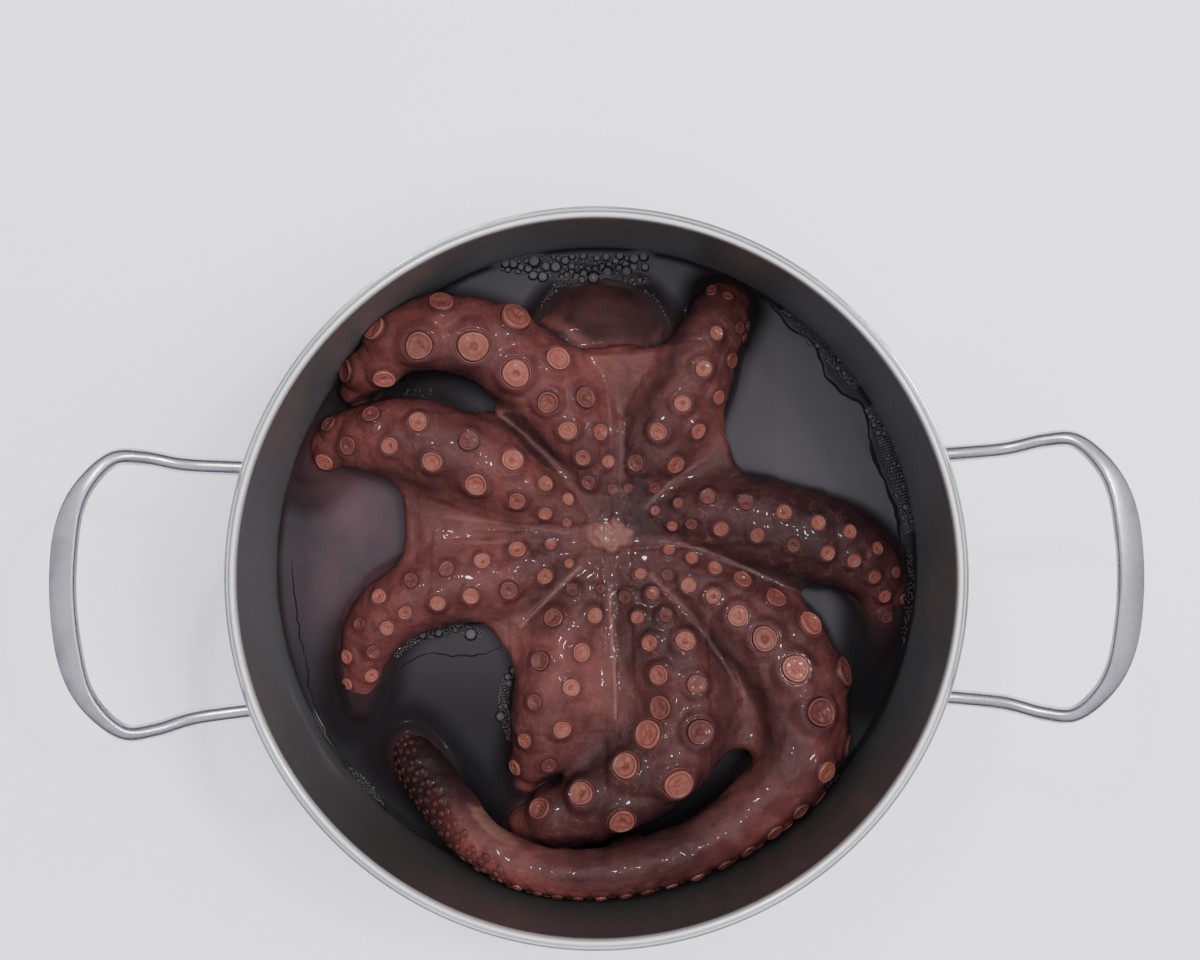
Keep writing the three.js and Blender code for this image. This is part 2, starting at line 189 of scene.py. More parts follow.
def join_rings(rings: Array, closed: bool = True) -> Faces:
    """Faces between rings of points.

    Args:
        rings: The (n, m, 3) points, m to a ring.
        closed: Whether the first and last rings are capped.

    Returns:
        The faces, as lists of point numbers.
    """
    count, sides = rings.shape[:2]
    near = np.arange(sides)
    far = np.roll(near, -1)
    faces: Faces = []
    for i in range(count - 1):
        low, high = i * sides, (i + 1) * sides
        faces += np.stack([low + near, low + far, high + far, high + near], 1).tolist()
    if closed:
        faces.append(near[::-1].tolist())
        faces.append(((count - 1) * sides + near).tolist())
    return faces


def turned(profile: Sequence[Place], segments: int) -> tuple[Array, Faces]:
    """A closed body turned about Z from a profile whose two ends lie on the axis.

    Args:
        profile: Pairs of radius and height, from the lower end of the axis round to the upper one.
        segments: Sides of each ring.

    Returns:
        The points and the faces.
    """
    turns = turns_of(segments)
    circle = np.stack([np.cos(turns), np.sin(turns)], 1)
    rings = np.array([[(r * x, r * y, z) for x, y in circle] for r, z in profile[1:-1]])
    points = np.vstack([rings.reshape(-1, 3), [[0, 0, profile[0][1]], [0, 0, profile[-1][1]]]])
    faces = join_rings(rings, closed=False)
    low, last = len(points) - 2, (len(rings) - 1) * segments
    for i in range(segments):
        j = (i + 1) % segments
        faces += [[low, j, i], [last + i, last + j, low + 1]]
    return points, faces


def placed(name: str, data: Any) -> Object:
    """An object of that data, linked into the scene."""
    made = bpy.data.objects.new(name, data)
    bpy.context.scene.collection.objects.link(made)
    return made


def piece(
    name: str,
    points: Array,
    faces: Any,
    finishes: Sequence[Material],
    masks: dict[str, Array] | None = None,
    kinds: Array | None = None,
) -> Object:
    """A mesh object in the row's frame, riding on the part's one body.

    Args:
        name: The piece's name.
        points: The (n, 3) points in millimetres.
        faces: Lists of point numbers, or an (m, k) array of them.
        finishes: Its materials.
        masks: Values for each point that its materials read, by name.
        kinds: Which of the materials each face takes.

    Returns:
        The object.
    """
    mesh = bpy.data.meshes.new(name)
    faces = faces.tolist() if isinstance(faces, np.ndarray) else faces
    mesh.from_pydata((np.asarray(points) * MM).tolist(), [], faces)
    for key, values in (masks or {}).items():
        mesh.attributes.new(key, "FLOAT", "POINT").data.foreach_set("value", values.astype(np.float32))
    for finish in finishes:
        mesh.materials.append(finish)
    if kinds is not None:
        mesh.polygons.foreach_set("material_index", kinds.astype(np.int32))
    mesh.shade_smooth()
    made = placed(name, mesh)
    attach(made, "root")
    LOG.info("%s: %d points, %d faces", name, len(mesh.vertices), len(mesh.polygons))
    return made


# ---------------------------------------------------------------- materials


class Value:
    """An output of a material's node, used in arithmetic: each operation adds a Math node."""

    def __init__(self, graph: "Graph", socket: bpy.types.NodeSocket) -> None:
        """Keeps the graph and the socket."""
        self.graph = graph
        self.socket = socket

    def math(self, operation: str, *operands: "Number") -> "Value":
        """A Math node of that operation on the operands, in order."""
        return self.graph.node("ShaderNodeMath", {"operation": operation}, dict(enumerate(operands)))

    def __add__(self, other: "Number") -> "Value":
        """The sum."""
        return self.math("ADD", self, other)

    def __mul__(self, other: "Number") -> "Value":
        """The product."""
        return self.math("MULTIPLY", self, other)

    def __sub__(self, other: "Number") -> "Value":
        """This value less the other."""
        return self.math("SUBTRACT", self, other)

    def __rsub__(self, other: "Number") -> "Value":
        """The other value less this one."""
        return self.math("SUBTRACT", other, self)

    def __pow__(self, other: "Number") -> "Value":
        """This value to that power."""
        return self.math("POWER", self, other)

    __radd__ = __add__
    __rmul__ = __mul__

    def step(self, low: float, high: float) -> "Value":
        """A smooth step of this value: 0 at low and 1 at high."""
        return self.graph.node(
            "ShaderNodeMapRange",
            {"interpolation_type": "SMOOTHSTEP"},
            {"Value": self, "From Min": low, "From Max": high},
        )

    def ring(self, centre: float, width: float) -> "Value":
        """1 where this value is at the centre, falling to 0 a width away to both sides."""
        away = self.math("ABSOLUTE", self - centre)
        return 1 - away.step(0, width)

    def clamp(self) -> "Value":
        """This value kept between 0 and 1."""
        return self.graph.node("ShaderNodeClamp", {}, {"Value": self})


Number = Union[Value, float]


class Graph:
    """The nodes of one material, or of the world."""

    def __init__(self, name: str, world: bool = False) -> None:
        """Starts a material, or a world, with no nodes."""
        self.owner = (bpy.data.worlds if world else bpy.data.materials).new(name)
        self.owner.use_nodes = True
        self.tree = self.owner.node_tree
        self.tree.nodes.clear()

    def node(
        self, kind: str, settings: dict[str, Any], sockets: dict[Any, Any], output: int | str = 0
    ) -> Value:
        """Adds a node.

        Args:
            kind: The node's type.
            settings: Its own settings, and a ramp's two stops as pairs of place and colour.
            sockets: A value or a link for each input, by name or number.
            output: Which output is given back.

        Returns:
            That output.
        """
        made = self.tree.nodes.new(kind)
        for key, setting in settings.items():
            if key == "stops":
                made.color_ramp.interpolation = "EASE"
                for element, (place, colour) in zip(made.color_ramp.elements, setting):
                    element.position, element.color = place, (*colour, 1)
            else:
                setattr(made, key, setting)
        for key, given in sockets.items():
            if isinstance(given, Value):
                self.tree.links.new(given.socket, made.inputs[key])
            else:
                made.inputs[key].default_value = given
        return Value(self, made.outputs[output])

    def mask(self, name: str) -> Value:
        """A value that the mesh holds for each of its points."""
        return self.node("ShaderNodeAttribute", {"attribute_name": name}, {}, "Fac")

    def place(self) -> Value:
        """The point's place on the object, in metres."""
        return self.node("ShaderNodeTexCoord", {}, {}, "Object")

    def axes(self) -> tuple[Value, Value, Value]:
        """The three parts of the point's place, in metres."""
        split = self.node("ShaderNodeSeparateXYZ", {}, {0: self.place()})
        return tuple(Value(self, socket) for socket in split.socket.node.outputs)

    def grain(self, scale: float, detail: float = 3, rough: float = 0.55, at: Value | None = None) -> Value:
        """Noise from 0 to 1, with scale lumps to a metre."""
        sockets = {"Vector": at or self.place(), "Scale": scale, "Detail": detail, "Roughness": rough}
        return self.node("ShaderNodeTexNoise", {}, sockets)

    def cells(self, scale: float, feature: str = "F1") -> Value:
        """Distance from the middles, or the edges, of a cell pattern with scale cells to a metre."""
        sockets = {"Vector": self.place(), "Scale": scale}
        return self.node("ShaderNodeTexVoronoi", {"feature": feature}, sockets)

    def blend(self, first: Any, second: Any, part: Number) -> Value:
        """The colour between first and second.

        Args:
            first: The colour, or its link, where part is 0.
            second: The one where part is 1.
            part: How much of the second there is.

        Returns:
            The colour.
        """
        colours = [(*c, 1) if isinstance(c, tuple) else c for c in (first, second)]
        settings = {"data_type": "RGBA", "clamp_factor": True}
        return self.node("ShaderNodeMix", settings, {0: part, 6: colours[0], 7: colours[1]}, 2)

    def bump(self, height: Value, strength: float, depth: float, under: Value | None = None) -> Value:
        """A normal from a height.

        Args:
            height: The height, from 0 to 1.
            strength: How much of it shows.
            depth: The depth that a height of 1 stands for, in metres.
            under: A normal that this one is laid on.

        Returns:
            The normal.
        """
        sockets: dict[str, Any] = {"Height": height, "Strength": strength, "Distance": depth}
        if under is not None:
            sockets["Normal"] = under
        return self.node("ShaderNodeBump", {}, sockets)

    def end(self, kind: str, shader: Value) -> Any:
        """Ends the material or the world in that shader, and gives it back.

        Args:
            kind: Material or World.
            shader: The shader.

        Returns:
            The material or the world.
        """
        last = self.tree.nodes.new(f"ShaderNodeOutput{kind}")
        self.tree.links.new(shader.socket, last.inputs["Surface"])
        return self.owner

    def finish(self, sockets: dict[str, Any]) -> Material:
        """Ends the material in a Principled shader with those inputs."""
        return self.end("Material", self.node("ShaderNodeBsdfPrincipled", {}, sockets))


# what the shaders of the skin and the suckers share
WET_FLESH = {
    "Subsurface Radius": (0.004, 0.0016, 0.0012),
    "Specular IOR Level": 0.22,
    "Coat Roughness": 0.06,
    "IOR": 1.36,
}


def tone(red: int, green: int, blue: int) -> Colour:
    """A colour from its screen values, 0 to 255."""
    return tuple(
        c / 12.92 if c <= 0.04045 else ((c + 0.055) / 1.055) ** 2.4
        for c in (red / 255, green / 255, blue / 255)
    )


@dataclass(frozen=True)
class BrushedSteel:
    """Steel with fine lines round the pot, a stained band at the liquid's edge and faint smears; its inside
    is darkened, more so towards -y, as painted shade, and the lip's top carries a painted highlight.

    The heights and the radii are in metres, each pair from where a look starts to where it is whole.
    """

    name: str = "brushed_steel"
    light: Colour = tone(206, 206, 208)
    dark: Colour = tone(160, 161, 162)
    stain_and_shade: Colour = tone(74, 62, 58)
    rough: float = 0.33
    inside_shade: Colour = tone(104, 105, 110)
    lip_highlight: Colour = tone(240, 240, 244)
    shine: float = 0.17
    haze: float = 0.3
    white: float = 0.5
    lines: float = 2600.0
    stretch: float = 14.0
    stain_level: float = 0.07
    stain_height: float = 0.007
    low_side_reach: Place = (0.03, 0.1)
    wall: Place = (0.1204, 0.1208)
    lip: Place = (0.1355, 0.138)
    lip_edge: Place = (0.1213, 0.1222)

    def build(self) -> Material:
        """The material."""
        g = Graph(self.name)
        x, y, z = g.axes()
        reach = (x * x + y * y) ** 0.5
        across = (z + reach) * self.lines
        along = g.node("ShaderNodeCombineXYZ", {}, {0: x * self.stretch, 1: y * self.stretch, 2: across})
        line = g.grain(1, 4, 0.65, along)
        smear = g.grain(28, 3)
        wet = (z + g.grain(90, 3) * 0.004).ring(self.stain_level, self.stain_height)
        inside = 1 - reach.step(*self.wall)
        edge = z.step(*self.lip)
        # Painted shade: the inside of the wall turns darker and browner towards -y, in the same brown as the
        # liquid's edge.
        low_side_shade = inside * (0 - y).step(*self.low_side_reach)
        stained = wet * inside * g.grain(60, 4).step(0.3, 0.65)
        colour = g.blend(self.dark, self.light, line.step(0.25, 0.7))
        # Painted shade: the whole inside of the pot is darkened.
        colour = g.blend(colour, self.inside_shade, inside * (0.55 + line * 0.3))
        colour = g.blend(colour, self.stain_and_shade, (stained * 0.7 + low_side_shade * 0.6).clamp())
        # Painted highlight: the top of the lip is painted pale and made less metallic.
        white = edge * (1 - reach.step(*self.lip_edge))
        colour = g.blend(colour, self.lip_highlight, white * 0.8)
        rough = self.rough + (line - 0.5) * 0.16 + smear.step(0.45, 0.75) * 0.09
        rough = rough + stained * 0.2 - edge * self.shine
        return g.finish({
            "Base Color": colour,
            "Metallic": 1 - inside * (1 - edge) * self.haze - white * self.white,
            "Roughness": rough,
            "Normal": g.bump(line, 0.25, 0.00012),
        })


@dataclass(frozen=True)
class PolishedSteel:
    """Bright steel with fine scratches and a few soft smears."""

    name: str = "polished_steel"
    light: Colour = tone(204, 203, 210)
    dark: Colour = tone(176, 175, 183)

    def build(self) -> Material:
        """The material."""
        g = Graph(self.name)
        smear = g.grain(70, 4)
        scratch = g.cells(900, "DISTANCE_TO_EDGE").step(0.0, 0.02)
        fine = g.grain(2400, 3)
        colour = g.blend(self.light, self.dark, smear.step(0.4, 0.7))
        rough = 0.19 + smear.step(0.4, 0.75) * 0.1 + (1 - scratch) * 0.08 + fine * 0.04
        height = fine * 0.4 + scratch * 0.3
        return g.finish({
            "Base Color": colour,
            "Metallic": 1.0,
            "Roughness": rough,
            "Normal": g.bump(height, 0.06, 0.0001),
        })


@dataclass(frozen=True)
class SkinFinish:
    """Wet cooked skin: wine brown, with paler webs, purple rings round the suckers and white veins; painted
    shade darkens the arms' sides, creases and hollows, and the skin where the per-arm shade is low.
    """

    name: str = "cooked_skin"
    deep: Colour = tone(26, 16, 18)
    brown: Colour = tone(76, 39, 38)
    rosy: Colour = tone(96, 52, 49)
    purple: Colour = tone(52, 28, 36)
    milky: Colour = tone(124, 88, 88)
    beak: Colour = tone(90, 59, 56)
    chip: Colour = tone(86, 60, 54)

    def build(self) -> Material:
        """The material."""
        g = Graph(self.name)
        broad = g.grain(38, 4, 0.6)
        patch = g.grain(130, 4, 0.6)
        fine = g.grain(620, 4, 0.65)
        veins = g.grain(170, 5, 0.6).ring(0.5, 0.03)
        shade, halo, oral, matt = (g.mask(name) for name in ("shade", "halo", "oral", "matt"))
        base = g.blend(self.brown, self.rosy, (patch.step(0.3, 0.72) * 0.7 + g.mask("pale") * 0.6).clamp())
        base = g.blend(base, self.purple, (halo * 0.32 + fine.step(0.5, 0.7) * 0.4).clamp())
        base = g.blend(base, self.milky, ((1 - oral + matt) * (patch - 0.25) * 0.45).clamp())
        # Painted shade: skin that faces sideways, where oral is low, is darkened, and the per-arm shade
        # darkens it partly for its own tone and partly as painted shade.
        dark = 1 - shade * (0.55 + oral * 0.45) + broad.step(0.45, 0.75) * 0.15
        base = g.blend(base, self.deep, dark.clamp())
        # Painted shade in creases and hollows.
        base = g.blend(base, self.deep, (g.mask("occlusion_shade") * 0.9).clamp())
        streaks = veins * fine * (oral - matt) * patch.step(0.42, 0.6) * 0.25
        base = g.blend(base, self.milky, streaks.clamp())
        base = g.blend(base, self.milky, (g.mask("crease") * (fine * 0.75 - 0.05)).clamp())
        base = g.blend(base, self.chip, g.mask("chip") * 0.85)
        base = g.blend(base, self.beak, (g.mask("mouth") * (0.6 + fine * 0.5)).clamp())
        height = fine * 0.55 + patch * 0.5 + veins * 0.12
        pores = g.cells(1500).step(0.0, 0.5)
        normal = g.bump(pores, 0.2, 0.0002, g.bump(height, 0.55, 0.0009))
        return g.finish({
            "Base Color": base,
            "Roughness": 0.36 + patch * 0.16 - halo * 0.05 + matt * 0.25,
            "Normal": normal,
            "Subsurface Weight": 0.12,
            "Subsurface Scale": 0.5,
            "Coat Weight": 0.2 - matt * 0.2,
            **WET_FLESH,
        })


@dataclass(frozen=True)
class SuckerFinish:
    """Sucker flesh: a salmon face, a paler rim, painted shade in the dip round it and in its pit, and painted
    shade that follows the arm's.
    """

    name: str = "sucker_flesh"
    salmon: Colour = tone(118, 69, 59)
    rosy: Colour = tone(116, 67, 63)
    brown: Colour = tone(74, 40, 38)
    rim: Colour = tone(116, 80, 76)
    groove_shade: Colour = tone(20, 9, 11)
    skin: Colour = tone(60, 31, 32)

    def build(self) -> Material:
        """The material."""
        g = Graph(self.name)
        radial, warm = g.mask("radial"), g.mask("tone")
        fine = g.grain(900, 4, 0.65)
        patch = g.grain(240, 3)
        face = g.blend(self.brown, self.salmon, warm)
        face = g.blend(face, self.rosy, patch.step(0.35, 0.7) * 0.6 * warm)
        # A darker ring inside the rim; the pit's darkening is painted shade.
        face = g.blend(face, self.brown, (radial.ring(0.77, 0.06) * 0.55 + g.mask("pit") * 0.5).clamp())
        face = g.blend(face, self.rim, (radial.ring(0.9, 0.1) * (0.25 + warm * 0.5)).clamp())
        face = g.blend(face, self.brown, (fine.step(0.5, 0.75) * 0.3).clamp())
        # Painted shade in the dip round the sucker.
        face = g.blend(face, self.groove_shade, radial.ring(1.04, 0.07))
        face = g.blend(face, self.skin, radial.step(1.08, 1.16))
        # Painted shade that follows the arm's shade.
        face = g.blend(face, self.groove_shade, (1 - g.mask("shade")).clamp())
        return g.finish({
            "Base Color": face,
            "Roughness": 0.34 + patch * 0.18,
            "Normal": g.bump(fine + patch, 0.4, 0.0004),
            "Subsurface Weight": 0.15,
            "Subsurface Scale": 0.4,
            "Coat Weight": 0.2,
            **WET_FLESH,
        })


@dataclass(frozen=True)
class BrothFinish:
    """Dark clear broth that hides what is deeper than a few millimetres; its pale grey is painted reflection
    of the room, and it is painted darker as shade beside what it holds.
    """

    name: str = "dark_broth"
    deep: Colour = tone(14, 14, 16)
    painted_reflection: Colour = tone(53, 52, 56)
    flesh: Colour = tone(30, 20, 22)
    murky: Colour = tone(80, 56, 62)

    def build(self) -> Material:
        """The material."""
        g = Graph(self.name)
        cloud = g.grain(26, 4)
        fine = g.grain(210, 3)
        clear = g.mask("open")
        # Painted reflection: the open liquid is painted pale grey.
        colour = g.blend(self.deep, self.painted_reflection, clear * (0.75 + cloud * 0.4))
        colour = g.blend(colour, self.flesh, (g.mask("sunk") * (0.7 + fine * 0.4)).clamp())
        colour = g.blend(colour, self.murky, g.mask("murk") * cloud.step(0.2, 0.6) * 0.5)
        return g.finish({
            "Base Color": colour,
            "Roughness": 0.035 + (1 - clear) * 0.25 + cloud.step(0.5, 0.8) * 0.03,
            "Specular IOR Level": 0.04,
            "Coat Weight": 0.02 + clear * 0.32,
            "Coat Roughness": 0.04,
            "IOR": 1.34,
            "Normal": g.bump(g.grain(45, 2), 0.12, 0.0006),
        })


@dataclass(frozen=True)
class BubbleFinish:
    """Thin wet film: clear in the middle of a bubble, and pale grey towards its edge as painted reflection.
    """

    name: str = "foam_film"
    film: Colour = tone(140, 138, 140)
    clear: float = 0.1

    def build(self) -> Material:
        """The material."""
        g = Graph(self.name)
        edge = g.node("ShaderNodeLayerWeight", {}, {"Blend": 0.35}, "Facing")
        speck = g.grain(1200, 2)
        # Painted reflection: the film's pale grey shows more towards a bubble's edge.
        return g.finish({
            "Base Color": (*self.film, 1),
            "Roughness": 0.05 + speck * 0.06,
            "Alpha": (self.clear + edge**2 * 0.75 + speck * 0.05).clamp(),
            "IOR": 1.34,
            "Coat Weight": 0.6,
            "Coat Roughness": 0.03,
        })


@dataclass(frozen=True)
class FloorFinish:
    """Plain pale matt table top."""

    name: str = "pale_table"
    light: Colour = tone(232, 231, 243)
    dark: Colour = tone(226, 225, 237)

    def build(self) -> Material:
        """The material."""
        g = Graph(self.name)
        colour = g.blend(self.light, self.dark, g.grain(3, 2))
        return g.finish({"Base Color": colour, "Roughness": 0.55})


# ---------------------------------------------------------------- pot and handles


@dataclass(frozen=True)
class Pot:
    """The vessel: a thick base disc, a rounded foot, a straight wall and a rolled lip."""

    height: float = 140.0
    inner: float = 120.0
    wall: float = 1.5
    rim: float = 124.0
    floor: float = 7.0
    corner: float = 12.0
    lip: float = 7.0
    base: float = 110.0
    base_thickness: float = 5.5
    segments: int = 288

    def _lip(self) -> list[Place]:
        """The rolled lip, from the outside of the wall over the top to its inside.

        Returns:
            Pairs of radius and height.
        """
        outer, top = self.inner + self.wall, self.height
        shape = [
            (outer, top - self.lip),
            (outer + 0.25, top - 5.0),
            (outer + 1.1, top - 3.7),
            (self.rim - 0.35, top - 3.2),
            (self.rim, top - 2.7),
            (self.rim - 0.3, top - 2.2),
            (self.rim - 0.75, top - 2.1),
            (self.rim - 0.95, top - 1.75),
            (self.rim - 1.9, top - 0.75),
            (self.rim - 2.8, top - 0.1),
            (self.inner + 0.75, top - 0.02),
            (self.inner + 0.2, top - 0.5),
            (self.inner, top - 1.5),
            (self.inner, top - self.lip),
        ]
        return [tuple(p) for p in spline(shape, np.linspace(0, 1, 66), 0.5)]

    def profile(self) -> list[Place]:
        """The closed outline of half a section, from the foot's centre round to the floor's.

        Returns:
            Pairs of radius and height.
        """
        outer, r = self.inner + self.wall, self.corner
        foot = [(0.0, 0.0), (60.0, 0.0), *arc((self.base - 1.5, 1.5), 1.5, -90, 0, 5)]
        edge = arc((self.base - 0.8, self.base_thickness - 0.8), 0.8, 0, 60, 3)
        wall = [*arc((outer - r, self.base_thickness + r), r, -74, 0, 12), (outer, 40.0), (outer, 90.0)]
        hollow = arc((self.inner - r, self.floor + r), r, 0, -90, 12)
        inside = [(self.inner, 100.0), (self.inner, 60.0), *hollow, (60.0, self.floor), (0.0, self.floor)]
        return foot + edge + wall + self._lip() + inside

    def build(self, steel: Material) -> Object:
        """Turns the pot and sets it in place of its solid.

        Args:
            steel: Its finish.

        Returns:
            The pot.
        """
        made = piece("pot_shell", *turned(self.profile(), self.segments), [steel])
        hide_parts("pot")
        return made


class Side(Enum):
    """Which side of the pot a handle is on, and the sign of its x."""

    RIGHT = 1
    LEFT = -1


@dataclass(frozen=True)
class Handle:
    """A round rod that leaves the wall at two pads, rises, and flattens into a band to grip."""

    side: Side
    foot: float = 116.0
    grip: float = 131.0
    rod: float = 5.8
    band: float = 9.3
    band_thickness: float = 3.6
    band_edge: float = 0.4
    spread: float = 42.0
    reach: float = 179.8
    turn: float = 1.17
    wall: float = 121.5
    pad: float = 7.2
    pad_thickness: float = 2.0
    stations: int = 150
    sides: int = 28

    def route(self) -> Array:
        """The rod's line, from one pad round to the other.

        Returns:
            The points of the line.
        """
        s, z = self.spread, self.foot
        half = [
            (113, s - 0.6, z),
            (127, s + 0.4, z + 0.3),
            (141, s + 1.8, z + 2),
            (153, s + 4.6, z + 6),
            (162, s + 4.8, z + 9.5),
            (170.5, s - 2.5, z + 12.5),
            (176.5, s - 14, self.grip - 0.8),
            (self.reach, 0, self.grip),
        ]
        whole = half + [(x, -y, h) for x, y, h in half[-2::-1]]
        return spline(whole, np.linspace(0, 1, self.stations), 0.5)

    def rings(self) -> Array:
        """The sections along the rod: round at the ends, and in the middle a bead that thins to a band.

        Returns:
            The (n, m, 3) points, m to a section.
        """
        line = self.route()
        along = unit(np.gradient(line, axis=0))
        left = unit(np.cross([0, 0, 1], along))
        up = np.cross(along, left)
        walked = np.concatenate([[0], np.cumsum(np.linalg.norm(np.diff(line, axis=0), axis=1))])
        middle = 1 - np.abs(2 * walked / walked[-1] - 1)
        flat = smooth(middle, 0.38, 0.85)
        turns = turns_of(self.sides)
        rings = []
        for i, share in enumerate(flat):
            bead, edge = (mix(self.rod / 2, r, share) for r in (self.band_thickness / 2, self.band_edge))
            inner, outer = share * (bead - self.band / 2), share * (self.band / 2 - edge)
            on_edge = np.cos(turns) > (self.band_thickness / 2 - self.band_edge) / (self.band * 0.77)
            x = np.where(on_edge, outer + edge * np.cos(turns), inner + bead * np.cos(turns))
            y = np.where(on_edge, edge, bead) * np.sin(turns)
            rings.append(line[i] + x[:, None] * left[i] + y[:, None] * up[i])
        return np.array(rings)

    def pads(self) -> list[tuple[Array, Faces]]:
        """The round pad at each end, curved to the wall, with a weld's fillet round the rod.

        Returns:
            The points and the faces of each pad.
        """
        made = []
        profile = [
            (0.0, 0.3),
            (self.pad - 0.1, 0.3),
            (self.pad, 0.8),
            (self.pad - 0.25, self.pad_thickness - 0.3),
            (self.pad - 0.9, self.pad_thickness + 0.3),
            (self.rod / 2 + 1.3, self.pad_thickness + 0.35),
            (self.rod / 2 + 0.3, self.pad_thickness + 0.9),
            (self.rod / 2 - 0.6, self.pad_thickness + 1.1),
            (0.0, self.pad_thickness + 1.1),
        ]
        points, faces = turned(profile, 48)
        for end in (-1, 1):
            turn = end * math.asin(self.spread / self.wall)
            across, up, out = points[:, 0], points[:, 1], points[:, 2]
            angle = turn + across / self.wall
            reach = self.wall + out
            made.append((np.stack([reach * np.cos(angle), reach * np.sin(angle), self.foot + up], 1), faces))
        return made

    def build(self, steel: Material) -> Object:
        """Sweeps the rod, adds the pads and sets them in place of their solid.

        Args:
            steel: Its finish.

        Returns:
            The handle.
        """
        rings = self.rings()
        reach = np.linalg.norm(rings[..., :2], axis=2).min(axis=1)
        keep = np.flatnonzero(reach > self.wall - 1.0)
        rings = rings[keep[0] : keep[-1] + 1]
        parts = [(rings.reshape(-1, 3), join_rings(rings)), *self.pads()]
        points, faces = combined(parts)
        turn = math.radians(-self.turn) if self.side is Side.RIGHT else math.pi + math.radians(self.turn)
        cos, sin = math.cos(turn), math.sin(turn)
        points = points @ np.array([[cos, sin, 0], [-sin, cos, 0], [0, 0, 1]])
        name = f"handle_{self.side.name.lower()}"
        made = piece(f"{name}_bar", points, faces, [steel])
        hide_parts(name)
        return made


def combined(parts: Iterable[tuple[Array, Any]]) -> tuple[Array, Faces]:
    """Joins several meshes' points and faces into one mesh's.

    Args:
        parts: The points and the faces of each mesh.

    Returns:
        The points and the faces of the whole.
    """
    points, faces, count = [], [], 0
    for some, theirs in parts:
        points.append(some)
        faces += [[count + i for i in face] for face in theirs]
        count += len(some)
    return np.vstack(points), faces


# ---------------------------------------------------------------- octopus


@dataclass(frozen=True)
class SuckerRow:
    """An arm's suckers.

    size is the widest one's diameter, peak how far along the arm it is and tip the share left at the end,
    where a lower fall shrinks them sooner. pitch is the step from one to the next and offset each row's
    distance from the middle, in diameters. swap starts in the other row, and crowd is the share of the arm's
    length after which smaller ones stand outside the rows.
    """

    size: float
    peak: float
    tip: float
    pitch: float
    offset: float
    fall: float = 0.6
    swap: bool = False
    crowd: float = 1.0


@dataclass(frozen=True)
class Stations:
    """Sections of an arm: centres, the three directions, half sizes and skin shade."""

    centre: Array
    along: Array
    left: Array
    up: Array
    width: Array
    height: Array
    shade: Array


@dataclass(frozen=True)
class Arm:
    """An arm, with half its width, its lean and its skin's shade at each point of its route; the shade is
    partly the skin's own tone and partly painted shade.
    """

    route: tuple[Point, ...]
    half: tuple[float, ...]
    roll: tuple[float, ...]
    shade: tuple[float, ...]
    suckers: SuckerRow
    thickness: float = 0.82
    least_height: float = 5.5

    @cached_property
    def _walked(self) -> Array:
        """The distance walked from the mouth at 201 even places of the route."""
        line = spline(self.route, np.linspace(0, 1, 201))
        steps = np.linalg.norm(np.diff(line, axis=0), axis=1)
        return np.concatenate([[0], np.cumsum(steps)])

    @property
    def length(self) -> float:
        """The arm's length."""
        return float(self._walked[-1])

    def at(self, distance: Any) -> Stations:
        """The sections at some distances from the mouth.

        Args:
            distance: One distance, or several.

        Returns:
            The sections there.
        """
        distance = np.clip(np.atleast_1d(np.asarray(distance, float)), 0, self.length)
        where = np.interp(distance, self._walked, np.linspace(0, 1, 201))
        centre = spline(self.route, where)
        ends = [spline(self.route, np.clip(where + d, 0, 1)) for d in (-1e-4, 1e-4)]
        along = unit(ends[1] - ends[0])
        width, roll, shade = spline(np.stack([self.half, self.roll, self.shade], 1), where).T
        level = unit(np.cross([0, 0, 1], along))
        upright = np.cross(along, level)
        cos, sin = cos_sin(roll[:, None])
        height = np.maximum(width * self.thickness, np.minimum(self.least_height, width * 1.3))
        left, up = level * cos - upright * sin, upright * cos + level * sin
        return Stations(centre, along, left, up, width, height, shade)

    def sucker_size(self, distance: float, start: float = 0.42) -> float:
        """A sucker's diameter at a distance: it grows to the widest, then shrinks to the tip.

        Args:
            distance: How far along the arm it stands.
            start: The first one's share of the widest.

        Returns:
            The diameter.
        """
        row = self.suckers
        share = min(1.0, distance / self.length)
        if share < row.peak:
            return row.size * mix(start, 1, float(smooth(np.array(share), 0, row.peak)))
        return row.size * mix(1, row.tip, ((share - row.peak) / (1 - row.peak)) ** row.fall)


@dataclass(frozen=True)
class Web:
    """The sheet between two arms: how far out it reaches along each, its scooped edge and its sag."""

    along: Place
    scoop: float
    sag: float
    fold: float = 1.0
    start: float = 5.0
    rise: float = 7.0
    half_thickness: float = 2.5

    def sheet(self, first: Arm, second: Arm, out: Array, across: Array) -> Array:
        """Points in the middle of the sheet.

        Args:
            first: The arm at its one side.
            second: The arm at its other side.
            out: How far out each point is, from 0 to 1.
            across: How far from the first arm to the second, from 0 to 1.

        Returns:
            The (n, 3) points.
        """
        bow = 4 * across * (1 - across)
        far = out * (1 - self.scoop * bow)
        from_first, from_second = (mix(self.start, reach, far) for reach in self.along)
        points = mix(first.at(from_first).centre, second.at(from_second).centre, across[:, None])
        points[:, 2] += np.minimum(1, 1.6 * far) * (self.rise - (self.rise + self.sag) * bow)
        return points


@dataclass(frozen=True)
class Lobe:
    """An ellipsoid of the body; tilt lifts its far side, in degrees."""

    centre: Point
    half: Point
    tilt: float = 0.0


